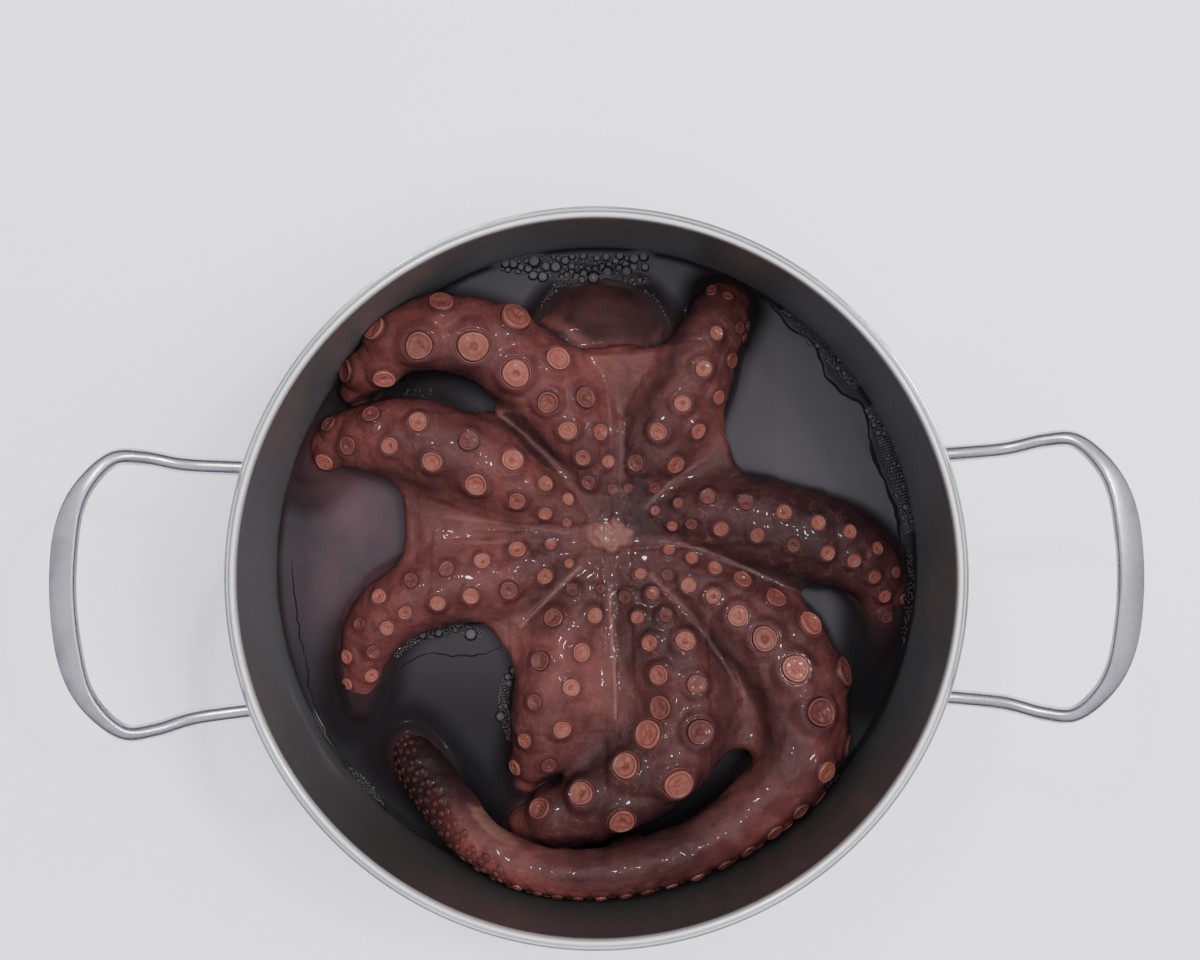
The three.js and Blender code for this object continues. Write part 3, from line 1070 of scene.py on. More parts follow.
@dataclass
class Field:
    """Signed distances to a surface on a regular grid."""

    low: Point
    high: Point
    step: float
    far: float = 6.0
    values: Array = field(init=False)

    def __post_init__(self) -> None:
        """Starts with nothing inside."""
        self.origin = np.array(self.low, float)
        count = np.ceil((np.array(self.high) - self.origin) / self.step).astype(int) + 1
        self.values = np.full(count, self.far, np.float32)

    def window(self, low: Array, high: Array) -> tuple[tuple[slice, ...], list[Array]]:
        """The part of the grid between two corners.

        Args:
            low: Its lowest corner.
            high: Its highest corner.

        Returns:
            The slices of the grid, and the three coordinates of its nodes, which broadcast.
        """
        first = np.maximum(np.floor((low - self.origin) / self.step).astype(int), 0)
        last = np.minimum(np.ceil((high - self.origin) / self.step).astype(int) + 1, self.values.shape)
        last = np.maximum(last, first)
        axes = [np.arange(a, b) * self.step + o for a, b, o in zip(first, last, self.origin)]
        sparse = np.meshgrid(*[a.astype(np.float32) for a in axes], indexing="ij", sparse=True)
        return tuple(slice(a, b) for a, b in zip(first, last)), sparse

    def nearest(self, part: tuple[slice, ...], centres: Array, spans: Array) -> tuple[Array, Array]:
        """Each node's nearest centre.

        Args:
            part: The slices of the grid that hold the nodes.
            centres: The (n, 3) centres.
            spans: How far out from each centre nodes are looked at.

        Returns:
            The squared distance at each node, very large where no centre is near, and the centre's number.
        """
        best = np.full([s.stop - s.start for s in part], np.float32(1e6))
        index = np.zeros(best.shape, np.int32)
        for i, (centre, span) in enumerate(zip(centres, spans)):
            inner, (x, y, z) = self.window(centre - span, centre + span)
            local = tuple(slice(s.start - p.start, s.stop - p.start) for s, p in zip(inner, part))
            away = (x - centre[0]) ** 2 + (y - centre[1]) ** 2 + (z - centre[2]) ** 2
            closer = away < best[local]
            best[local] = np.where(closer, away, best[local])
            index[local][closer] = i
        return best, index

    def join(self, part: tuple[slice, ...], distance: Array, soft: float) -> None:
        """Adds a shape to what is inside, rounding the crease between them over a width of soft.

        Args:
            part: The slices of the grid that the shape can reach.
            distance: Its distance at their nodes.
            soft: The width of the rounding.
        """
        old = self.values[part]
        least = np.minimum(old, distance)
        near = np.maximum(soft - np.abs(old - distance), 0) / soft * np.clip(2 - 2 * least / self.far, 0, 1)
        self.values[part] = least - near * near * soft / 4

    def sample(self, points: Array) -> Array:
        """The distance at each point.

        Args:
            points: The (n, 3) points.

        Returns:
            One distance for each.
        """
        place = (points - self.origin) / self.step
        top = np.array(self.values.shape) - 2
        cell = np.clip(np.floor(place).astype(int), 0, top)
        part = np.clip(place - cell, 0, 1)
        total = np.zeros(len(points))
        for corner in itertools.product((0, 1), repeat=3):
            weight = np.prod(np.where(np.array(corner) == 1, part, 1 - part), axis=1)
            total += weight * self.values[tuple((cell + corner).T)]
        return total

    def slope(self, points: Array) -> Array:
        """The direction out of the surface at each point.

        Args:
            points: The (n, 3) points.

        Returns:
            One direction of length 1 for each.
        """
        reach = self.step
        parts = []
        for axis in np.eye(3) * reach:
            parts.append(self.sample(points + axis) - self.sample(points - axis))
        return unit(np.stack(parts, 1))

    def settle(self, points: Array, along: Array | None = None, rounds: int = 3) -> Array:
        """Moves points onto the surface, straight to it or along given directions.

        Args:
            points: The (n, 3) points.
            along: The directions, or none to go straight to the surface.
            rounds: How often they are moved.

        Returns:
            The points on the surface.
        """
        for _ in range(rounds):
            way = self.slope(points) if along is None else along
            points = points - self.sample(points)[:, None] * way
        return points

    def surface(self) -> tuple[Array, Array]:
        """The surface's points and four-sided faces.

        Returns:
            The points, and the faces as an (m, 4) array of point numbers.
        """
        grid = openvdb.FloatGrid(background=self.far)
        grid.copyFromArray(self.values)
        points, faces = grid.convertToQuads(isovalue=0.0)
        return self.origin + points.astype(float) * self.step, faces.astype(np.int64)


class SuckerKind(Enum):
    """How a sucker's face lies."""

    FLAT = 0
    PITTED = 1
    DOMED = 2
    SUNKEN = 3


@dataclass(frozen=True)
class Sucker:
    """One sucker: where it sits on the skin, its directions, its radius and its look."""

    seat: Array
    out: Array
    along: Array
    radius: float
    kind: SuckerKind
    tone: float
    shade: float
    lean: float
    seed: int


# radius and height of a flat sucker's section, as shares of its radius, from the skin to its middle
CUP = (
    (1.24, -0.14),
    (1.17, -0.02),
    (1.11, 0.015),
    (1.06, -0.035),
    (1.02, -0.02),
    (1.0, 0.06),
    (0.985, 0.17),
    (0.95, 0.25),
    (0.89, 0.275),
    (0.82, 0.255),
    (0.77, 0.215),
    (0.7, 0.2),
    (0.58, 0.205),
    (0.46, 0.21),
    (0.36, 0.2),
    (0.29, 0.165),
    (0.2, 0.135),
    (0.1, 0.13),
)


def wobble(number: float, arm: int) -> float:
    """A fixed number from -0.5 to 0.5 for a sucker of an arm."""
    return (math.sin(number * 12.9898 + arm * 78.233) * 43758.5453) % 1 - 0.5


@dataclass
class Octopus:
    """The whole animal: eight arms, the webs between them, the crown, the lips, the head and the mantle."""

    arms: tuple[Arm, ...]
    webs: tuple[Web, ...]
    crown: Lobe = Lobe((5.4, 12.1, 60), (33, 33, 12.5))
    lips: Lobe = Lobe((5.4, 12.1, 73), (9, 7, 4))
    head: Lobe = Lobe((4, 22, 36), (32, 34, 31))
    mantle: Lobe = Lobe((3, 82, 50), (37, 33, 24), 15)
    level: float = 67.0
    reach: float = 119.1
    lowest: float = 7.3
    step: float = 0.8
    wall_play: float = 0.6
    lips_reach: Place = (8.6, 5.6)
    mantle_shade: float = 0.2
    mantle_edge: Place = (80, 87)
    shore: Place = (66, 70)
    chip_heights: Place = (78, 81)
    lumpy: tuple[Point, ...] = ((0.75, 10, 1), (0.4, 4.5, 2), (0.16, 2.1, 3))
    keep_above: float = 62.0
    keep_share: float = 0.62
    first: float = 9.5
    uneven: float = 0.2
    shift: float = 0.15
    lift: float = 0.1
    mingle: float = 3.0
    arm_soft: Place = (5.0, 1.6)
    web_soft: float = 7.0
    tiny: float = 3.4
    large: float = 9.6
    special: float = 0.45
    sunken: float = 0.86
    furthest_lean: float = 0.8
    least_clear: float = 0.4
    crowd_lanes: Point = (0.9, 2.4, 3.7)
    crowd_size: float = 0.8
    over: Point = (0, 0, 12)
    chips: tuple[tuple[float, ...], ...] = ((-40, -90.5, 11, 2.8, -35), (-28.3, 6.7, 3.5, 2.4, 0))

    def __post_init__(self) -> None:
        """Works out the surface and the suckers' seats."""
        self.field = Field((-113, -121, self.lowest - 2), (119, 120, 105), self.step)
        self._fill()
        self.suckers = [s for n, arm in enumerate(self.arms) for s in self._row(n, arm)]

    # ---- form

    def _pairs(self) -> list[tuple[Web, Arm, Arm]]:
        """Each web with the arms at its two sides."""
        return list(zip(self.webs, self.arms, self.arms[1:] + self.arms[:1]))

    def _lobe(self, lobe: Lobe, soft: float) -> None:
        """Adds an ellipsoid to the field.

        Args:
            lobe: The ellipsoid.
            soft: The width of the rounding where it meets what is there.
        """
        centre, half = np.array(lobe.centre, float), np.array(lobe.half, float)
        reach = half.max() + 4
        part, (x, y, z) = self.field.window(centre - reach, centre + reach)
        x, y, z = x - centre[0], y - centre[1], z - centre[2]
        cos, sin = cos_sin(lobe.tilt)
        y, z = y * cos + z * sin, z * cos - y * sin
        near = np.sqrt((x / half[0]) ** 2 + (y / half[1]) ** 2 + (z / half[2]) ** 2)
        steep = np.sqrt((x / half[0] ** 2) ** 2 + (y / half[1] ** 2) ** 2 + (z / half[2] ** 2) ** 2)
        self.field.join(part, near * (near - 1) / np.maximum(steep, 1e-6), soft)

    def _arm(self, arm: Arm) -> None:
        """Adds an arm to the field: at each node, the section of the nearest place on its line.

        Args:
            arm: The arm.
        """
        walk = np.linspace(0, arm.length, int(arm.length / 1.6) + 1)
        line = arm.at(walk)
        margin = line.width.max() + 6
        part, (x, y, z) = self.field.window(line.centre.min(0) - margin, line.centre.max(0) + margin)
        best, index = self.field.nearest(part, line.centre, np.maximum(line.width, line.height) + 5)
        inside = np.nonzero(best < 1e5)
        points = np.stack([np.broadcast_to(v, best.shape)[inside] for v in (x, y, z)], 1)
        near, _ = self._against(arm, walk, line, points, index[inside])
        distance = np.full(best.shape, np.float32(self.field.far))
        distance[inside] = np.minimum(near, self.field.far)
        out = smooth(np.hypot(x - self.crown.centre[0], y - self.crown.centre[1]), 22, 62)
        self.field.join(part, distance, mix(*self.arm_soft, out))

    @staticmethod
    def _against(
        arm: Arm, walk: Array, line: Stations, points: Array, index: Array
    ) -> tuple[Array, tuple[Array, Array, Array]]:
        """Distances from an arm's skin.

        Args:
            arm: The arm.
            walk: Its stations' distances from the mouth.
            line: The stations.
            points: The (n, 3) points.
            index: The station nearest to each point.

        Returns:
            The distances, and for each point how far along the arm it is and its two places in the section.
        """
        past = np.einsum("ij,ij->i", points - line.centre[index], line.along[index])
        half_step = (walk[1] - walk[0]) / 2
        distance = walk[index] + np.clip(past, -half_step, half_step)
        beyond = np.where((index == 0) | (index == len(walk) - 1), past, 0)
        beyond = np.where((index == 0) == (beyond < 0), beyond, 0)
        read = np.column_stack([line.centre, line.left, line.up, line.width, line.height]).T
        read = np.stack([np.interp(distance, walk, v) for v in read], 1)
        width, height = read[:, 9], read[:, 10]
        away = points - read[:, :3]
        x = np.einsum("ij,ij->i", away, read[:, 3:6])
        y = np.einsum("ij,ij->i", away, read[:, 6:9])
        cap = width * 0.8
        near = np.sqrt((x / width) ** 2 + (y / height) ** 2 + (beyond / cap) ** 2)
        steep = np.sqrt((x / width**2) ** 2 + (y / height**2) ** 2 + (beyond / cap**2) ** 2)
        return near * (near - 1) / np.maximum(steep, 1e-6), (distance, x / width, y / height)

    def _web(self, web: Web, first: Arm, second: Arm) -> None:
        """Adds a web to the field as a close row of balls along its sheet.

        Args:
            web: The web.
            first: The arm at its one side.
            second: The arm at its other side.
        """
        out, across = np.meshgrid(np.linspace(0, 1, 62), np.linspace(0, 1, 44), indexing="ij")
        middle = web.sheet(first, second, out.ravel(), across.ravel())
        margin = web.half_thickness + 4.5
        part, _ = self.field.window(middle.min(0) - margin, middle.max(0) + margin)
        best, _ = self.field.nearest(part, middle, np.full(len(middle), margin))
        near = np.sqrt(np.minimum(best, np.float32(margin**2)))
        self.field.join(part, near - web.half_thickness, self.web_soft)

    def _fill(self) -> None:
        """Builds the field from the body, the arms and the webs, within the pot's space."""
        self._lobe(self.head, 4)
        self._lobe(self.mantle, 6)
        self._lobe(self.crown, 5)
        for arm in self.arms:
            self._arm(arm)
        for web, first, second in self._pairs():
            self._web(web, first, second)
        self._lobe(self.lips, 3)
        part, (x, y, z) = self.field.window(np.full(3, -1e3), np.full(3, 1e3))
        self.field.values = np.maximum(self.field.values, np.hypot(x, y) - self.reach)
        self.field.values = np.maximum(self.field.values, self.lowest - z).astype(np.float32)

    # ---- suckers

    def _row(self, number: int, arm: Arm) -> list[Sucker]:
        """An arm's suckers, in two staggered rows.

        Args:
            number: The arm's number.
            arm: The arm.

        Returns:
            Its suckers, from the mouth out.
        """
        made = []
        along_arm, n = self.first, 0
        while along_arm < arm.length:
            size = arm.sucker_size(along_arm) * (1 + self.uneven * wobble(n, number))
            place = along_arm + self.shift * size * wobble(n + 50, number)
            here = arm.at(place)
            side = -1 if n % 2 != arm.suckers.swap else 1
            crowded = along_arm > arm.suckers.crowd * arm.length
            for k, lane in enumerate(self.crowd_lanes if crowded else (1.0,)):
                spot = here if k != 1 else arm.at(place + 0.5 * arm.suckers.pitch * size)
                self._seat(made, (number, n), size * (self.crowd_size if crowded else 1), side * lane, spot)
            n += 1
            along_arm += arm.suckers.pitch * arm.sucker_size(along_arm)
        return made

    def _seat(
        self, made: list[Sucker], key: tuple[int, int], size: float, lane: float, here: Stations
    ) -> None:
        """Adds a sucker where a lane, counted to one side of the arm's middle, meets the skin.

        Args:
            made: The suckers so far.
            key: The arm's number and the sucker's.
            size: The sucker's diameter.
            lane: How many rows out it stands, less than 0 on the right.
            here: The arm's section there.
        """
        offset = self.arms[key[0]].suckers.offset
        most = self.furthest_lean
        lean = max(-most, min(most, lane * offset * size / float(here.width[0])))
        turn = math.pi / 2 - math.asin(lean)
        left, up = here.left * math.cos(turn), here.up * math.sin(turn)
        base = here.centre + left * here.width + up * here.height
        out = unit(left / here.width[0] + up / here.height[0])
        seat = self.field.settle(base + 2 * out, out, 6)
        facing = unit(0.55 * self.field.slope(seat) + 0.45 * out)[0]
        across = np.cross(facing, here.along[0])
        ways = np.array([across, -across, here.along[0], -here.along[0]])
        edges = seat[0] + size * (0.2 * facing + 0.45 * ways)
        beside, above = self.field.sample(edges).min(), self.field.sample(edges + self.over).min()
        covered = beside < -0.16 * size or above < 0
        clear = seat[0, 2] > self.level + self.least_clear
        if np.linalg.norm(seat - base) < 5 and clear and not covered:
            made.append(self._sucker(*key, size, seat[0], facing, here))

    def _sucker(self, arm: int, n: int, size: float, seat: Array, out: Array, here: Stations) -> Sucker:
        """One sucker with its look drawn from its place in the row.

        Args:
            arm: The arm's number.
            n: The sucker's number in its row.
            size: Its diameter.
            seat: Where it sits.
            out: The direction that it faces.
            here: The arm's section there.

        Returns:
            The sucker.
        """
        draw = wobble(n + 200, arm) + 0.5
        kind = SuckerKind.SUNKEN if draw > self.sunken else SuckerKind.FLAT
        if draw < self.special:
            kind = SuckerKind.DOMED if size > self.large else SuckerKind.PITTED
        along = unit(here.along[0] - out * (here.along[0] @ out))
        warmth = float(mix(0.05, 1, smooth(np.array(wobble(n + 300, arm) + 0.5), 0.15, 0.88)))
        # The arm's shade carries over to the sucker, partly as painted shade.
        shade = 0.5 + 0.5 * float(here.shade[0])
        if size < self.tiny:
            kind, warmth, shade = SuckerKind.DOMED, 0.25 * warmth, 0.75 * shade
        return Sucker(seat, out, along, size / 2, kind, warmth, shade, wobble(n + 400, arm), arm * 100 + n)

    # ---- skin

    def _pedestals(self, points: Array) -> tuple[Array, Array]:
        """Raises the skin to a flat seat under each sucker.

        Args:
            points: The skin's points.

        Returns:
            The moved points, and how close each is to a sucker, from 0 to 1.
        """
        halo = np.zeros(len(points))
        for sucker in self.suckers:
            away = points - sucker.seat
            near = np.flatnonzero(np.einsum("ij,ij->i", away, away) < (2.6 * sucker.radius) ** 2)
            height = away[near] @ sucker.out
            flat = away[near] - height[:, None] * sucker.out
            ratio = np.linalg.norm(flat, axis=1) / sucker.radius
            hold = (1 - smooth(ratio, 1.02, 2.0)) * (np.abs(height) < 1.6 * sucker.radius)
            raised = self.lift * 2 * sucker.radius - 0.09 * sucker.radius * (1 - smooth(ratio, 1.05, 1.25))
            points[near] += ((raised - height) * hold)[:, None] * sucker.out
            halo[near] = np.maximum(halo[near], (1 - smooth(ratio, 1.1, 2.0)) * (height > -sucker.radius))
        return points, halo

    def _coordinates(self, points: Array) -> dict[str, Array]:
        """Each point's distance from the arms, their shade there and how far it faces their suckers.

        Args:
            points: The skin's points.

        Returns:
            The three values of each point, by name.
        """
        best = np.full(len(points), 1e6)
        shade = oral = weight = np.full(len(points), 1e-9)
        for arm in self.arms:
            walk = np.linspace(0, arm.length, int(arm.length / 4) + 1)
            line = arm.at(walk)
            away = ((points[:, None, :] - line.centre[None]) ** 2).sum(2)
            index = away.argmin(1)
            near, (distance, _, up) = self._against(arm, walk, line, points, index)
            best = np.minimum(best, near)
            share = np.exp(-np.clip(near + 3, 0, 60) / self.mingle)
            shade = shade + share * np.interp(distance, walk, line.shade)
            oral = oral + share * smooth(up, 0.15, 0.9)
            weight = weight + share
        return {"near": best, "shade": shade / weight, "oral": oral / weight}

    def _mouth(self, points: Array) -> Array:
        """How far each point belongs to the lips, in plan."""
        away = (points[:, :2] - self.lips.centre[:2]) / self.lips_reach
        return 1 - smooth(np.hypot(*away.T) + 0.22 * lumps(points, 2.2, 5), 0.75, 1.15)

    def _creases(self, points: Array) -> Array:
        """The fold that runs out along the middle of each web.

        Args:
            points: The skin's points.

        Returns:
            How far each point belongs to a fold, from 0 to 1.
        """
        crease = np.zeros(len(points))
        out = np.linspace(0.06, 0.8, 40)
        for web, first, second in self._pairs():
            line = web.sheet(first, second, out, np.full(len(out), 0.5))
            crease = np.maximum(crease, bell(near_line(points, line), 0.5) * web.fold)
        return crease

    def _chips(self, points: Array) -> Array:
        """Where the skin is rubbed off: ovals of a place, two half lengths and a turn in degrees.

        Args:
            points: The skin's points.

        Returns:
            How bare each point is, from 0 to 1.
        """
        chip = np.zeros(len(points))
        for x, y, long, wide, turn in self.chips:
            cos, sin = cos_sin(turn)
            a, b = points[:, 0] - x, points[:, 1] - y
            away = np.hypot((a * cos + b * sin) / long, (b * cos - a * sin) / wide)
            chip = np.maximum(chip, bell(away + 0.2 * lumps(points, 3, 6), 1))
        return smooth(chip * smooth(points[:, 2], *self.chip_heights), 0.3, 0.7)

    def build(
        self, skin: Material, cup: Material
    ) -> tuple[Object, Object]:
        """Makes the skin and the suckers and sets them in place of the octopus's solid.

        Args:
            skin: The skin's finish.
            cup: The suckers' finish.

        Returns:
            The skin and the suckers.
        """
        points, faces = self.field.surface()
        points = self.field.settle(points)
        normal = self.field.slope(points)
        masks = self._coordinates(points)
        points, halo = self._pedestals(points)
        # Painted shade: how shut in each point is, for darkening creases and hollows.
        occlusion_shade = 1 - np.clip(self.field.sample(points + normal * 5) / 5, 0, 1)
        top = smooth(points[:, 2], *self.shore)
        mouth = self._mouth(points) * top
        web = smooth(masks["near"], 0.3, 2.5) * top
        crease = self._creases(points) * web
        mantle = smooth(masks["near"], 4, 9) * smooth(points[:, 1], *self.mantle_edge)
        oral = np.maximum(masks["oral"], np.maximum(mantle, 0.6 * web))
        uneven = sum(height * lumps(points, size, seed) for height, size, seed in self.lumpy)
        lift = uneven * (1 - halo) + 0.3 * crease + mouth * (0.8 + 0.7 * lumps(points, 1.8, 4))
        points = points + normal * lift[:, None]
        points[:, 2] = np.maximum(points[:, 2], self.lowest)
        points = within(points, self.reach + self.wall_play)
        looks = {
            "shade": masks["shade"] * mix(1, self.mantle_shade, mantle),
            "oral": oral,
            "halo": halo,
            "pale": np.clip(0.7 * web + 0.25 * (1 - halo) * oral, 0, 1),
            "crease": crease,
            "mouth": mouth,
            "occlusion_shade": smooth(occlusion_shade, 0.35, 0.95),
            "chip": self._chips(points),
            "matt": mantle,
        }
        body = piece("octopus_skin", points, faces, [skin], looks)
        self._thin_out(body)
        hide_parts("octopus")
        return body, self._cups(cup)

    def _thin_out(self, body: Object) -> None:
        """Merges small faces where the broth hides the skin.

        Args:
            body: The skin.
        """
        hidden = body.vertex_groups.new(name="hidden")
        heights = np.array([v.co.z for v in body.data.vertices]) / MM
        hidden.add(np.flatnonzero(heights < self.keep_above).tolist(), 1.0, "REPLACE")
        thin = body.modifiers.new("thin", "DECIMATE")
        thin.vertex_group = hidden.name
        thin.ratio = self.keep_share
        apply_modifiers(body)

    def _cups(self, finish: Material) -> Object:
        """All the suckers as one mesh.

        Args:
            finish: Their finish.

        Returns:
            The suckers.
        """
        parts, looks = [], []
        for sucker in self.suckers:
            points, faces, radial, pit = self._cup(sucker)
            parts.append((points, faces))
            even = np.ones(len(points))
            looks.append([radial, even * sucker.tone, pit, even * sucker.shade])
        masks = dict(zip(("radial", "tone", "pit", "shade"), np.hstack(looks)))
        points, faces = combined(parts)
        made = piece("suckers", within(points, self.reach + self.wall_play), faces, [finish], masks)
        return made

    def _cup(self, sucker: Sucker) -> tuple[Array, Faces, Array, Array]:
        """One sucker's mesh.

        Args:
            sucker: The sucker.

        Returns:
            Its points and faces, and for each point its share of the radius and how deep in the pit it is.
        """
        sides = int(np.clip(sucker.radius * 7, 12, 36))
        turns = turns_of(sides)
        profile = np.array([*CUP, (0.0, 0.13)])
        radial = profile[:-1, 0]
        phase = sucker.seed * 2.4
        oval = 1 + 0.04 * np.sin(2 * turns + phase) + 0.025 * np.sin(3 * turns + 2 * phase)
        reach = radial[:, None] * np.where(radial[:, None] < 1.1, oval, 1 + (oval - 1) * 0.5)
        x, y = reach * np.cos(turns), reach * np.sin(turns)
        z = np.repeat(profile[:-1, 1][:, None], sides, 1)
        inner = smooth(radial, 1.0, 0.8)[:, None]
        z = z + 0.035 * np.sin(2 * turns + phase + 1) * inner + 0.02 * np.sin(5 * turns) * inner
        shift = 0.16 * sucker.lean
        pit = 1 - smooth(np.hypot(x - shift, y + shift * 0.6), 0.05, 0.36)
        middle = 0.13
        if sucker.kind is SuckerKind.DOMED:
            swell = 0.3 * np.maximum(0, 1 - (radial / 0.93) ** 2)[:, None]
            z = z + swell - 0.16 * pit
            middle += 0.14 + 0.3 * (1 - float(pit[-1].mean()))
        elif sucker.kind is SuckerKind.PITTED:
            z = z - 0.1 * pit
            middle -= 0.1
        elif sucker.kind is SuckerKind.SUNKEN:
            z = z - 0.13 * smooth(radial, 0.9, 0.6)[:, None]
            middle -= 0.13
            pit = pit * 0.5
        else:
            pit = pit * 0.25
        across = np.cross(sucker.out, sucker.along)
        base = sucker.seat + self.lift * 2 * sucker.radius * sucker.out
        spots = np.stack([x, y, z], 2).reshape(-1, 3) * sucker.radius
        spots = np.vstack([spots, [0, 0, middle * sucker.radius]])
        points = base + spots @ np.stack([sucker.along, across, sucker.out])
        faces = join_rings(np.zeros((len(radial), sides, 3)), closed=False)
        faces += fan((len(radial) - 1) * sides, sides, len(points) - 1)
        whole = np.append(np.repeat(radial, sides), 0)
        return points, faces, whole, np.append(pit.ravel(), pit[-1].mean())


def apply_modifiers(made: Object) -> None:
    """Bakes an object's modifiers into its mesh.

    Args:
        made: The object.
    """
    bpy.context.view_layer.update()
    seen = made.evaluated_get(bpy.context.evaluated_depsgraph_get())
    mesh = bpy.data.meshes.new_from_object(seen)
    made.modifiers.clear()
    made.data = mesh


def arms() -> tuple[Arm, ...]:
    """The eight arms, anticlockwise from the one at the top left."""
    # Each arm's shade row is partly the skin's own tone and partly painted shade, darker towards the pot's
    # wall.
    return (
        Arm(
            (
                (4, 20, 70), (-2, 44, 72), (-18, 69, 76), (-43, 86, 82), (-66, 86, 87), (-80, 77, 81),
                (-89, 67, 70),
            ),
            (4, 11.5, 15.6, 15, 12.6, 9, 5.5),
            (0, -8, -10, -20, -14, 8, 15),
            (0.15, 0.44, 0.73, 0.62, 0.72, 0.85, 0.6),
            SuckerRow(10.8, 0.6, 0.7, 0.99, 0.72, swap=True),
        ),
        Arm(
            (
                (-2, 16, 70), (-15, 24, 73), (-34, 35, 76), (-56, 46, 78), (-78, 50.5, 76), (-96, 48, 70),
                (-107, 39, 62),
            ),
            (4, 8, 13.5, 15.8, 14, 9.5, 5),
            (0, 0, 0, 0, -10, -20, -15),
            (0.33, 0.48, 0.65, 0.43, 0.72, 0.95, 0.75),
            SuckerRow(7.8, 0.38, 0.8, 1.12, 0.76),
        ),
        Arm(
            (
                (-3, 8, 70), (-18, 4, 72), (-37, -2, 72), (-57, -6.5, 72), (-76, -14, 70), (-87, -29, 68),
                (-90, -50, 62),
            ),
            (4, 8.5, 13, 14, 13, 10, 5),
            (0, -3, -5, -7, -9, -7, -5),
            (0.48, 0.22, 0.64, 0.53, 0.78, 0.65, 0.95),
            SuckerRow(6.6, 0.22, 0.7, 1.08, 0.88),
        ),
        Arm(
            ((1, 2, 70), (-6, -13, 72), (-14, -32, 74), (-19, -52, 74), (-23, -67, 71), (-26.5, -80, 65)),
            (4, 9.5, 13.3, 13.5, 11, 6),
            (0, 0, 0, 0, -5, -10),
            (0.35, 0.27, 0.7, 0.48, 0.39, 0.8),
            SuckerRow(6.8, 0.3, 0.85, 1.09, 0.88),
        ),
        Arm(
            (
                (8, 3, 70), (17, -13, 72), (28, -33, 75), (32, -54, 76), (21, -74, 77), (2, -85, 76),
                (-16, -93, 73), (-29, -96, 68),
            ),
            (4, 10, 14.5, 16.5, 16, 14.2, 12, 8),
            (0, 0, -4, -12, -8, 0, 0, 0),
            (0.26, 0.2, 0.33, 0.37, 0.31, 0.2, 0.31, 0.6),
            SuckerRow(10.6, 0.67, 0.75, 0.93, 0.8),
        ),
        Arm(
            (
                (16, 5, 70), (33, -4, 72), (54, -19, 74), (70, -36, 75), (76, -55, 76), (71, -74, 78),
                (53, -91, 81), (28, -103, 88), (0, -108.5, 93), (-25, -106.5, 92), (-43.5, -98.5, 86),
                (-56.5, -85.5, 78), (-66, -74.5, 71), (-73, -66.5, 64),
            ),
            (4, 10, 16, 18, 18, 16.5, 13.8, 12, 10.4, 10, 10.2, 10.4, 10, 7.5),
            (0, 20, 26, 32, 48, 68, 78, 84, 84, 76, 60, 42, 28, 20),
            (0.31, 0.32, 0.37, 0.46, 0.48, 0.52, 0.86, 0.42, 0.6, 1.2, 1, 0.2, 0, 0.05),
            SuckerRow(10.8, 0.33, 0.2, 0.86, 0.84, 0.4, crowd=0.78),
        ),
        Arm(
            (
                (16, 14, 70), (31, 20, 72), (52, 18.5, 74), (75, 11.5, 74), (95, 4, 71), (106, -10, 66),
                (107.5, -28, 61), (104, -44, 55),
            ),
            (4, 9.5, 15, 16.5, 14.5, 10.5, 6.5, 3.8),
            (0, 0, 0, 2, 10, 25, 40, 45),
            (0.09, 0.23, 0.2, 0.12, 0.2, 0.4, 0.5, 0.5),
            SuckerRow(6.3, 0.28, 0.6, 1.1, 0.88),
        ),
        Arm(
            ((11, 20, 70), (23, 44, 72), (36, 67, 74), (42, 82, 74), (47, 91, 72), (50, 98, 67)),
            (4, 13, 14.5, 12.8, 11.4, 9.5),
            (0, -14, -30, -32, -25, -10),
            (0.07, 0.25, 0.55, 0.36, 0.34, 0.55),
            SuckerRow(6.6, 0.3, 0.8, 1.12, 0.9, crowd=0.84),
        ),
    )


WEBS = (
    Web((62, 64), 0.1, 3, 0.0),
    Web((86, 73), 0.1, 0, 0.5),
    Web((52, 58), 0.08, -1),
    Web((82, 72), 0, -4),
    Web((80, 108), 0.08, -2, 0.7),
    Web((70, 66), 0.05, 1, 0.7),
    Web((46, 62), 0.08, 0, 0.6),
    Web((70, 74), 0.08, -1, 0.3),
)


# ---------------------------------------------------------------- broth and foam


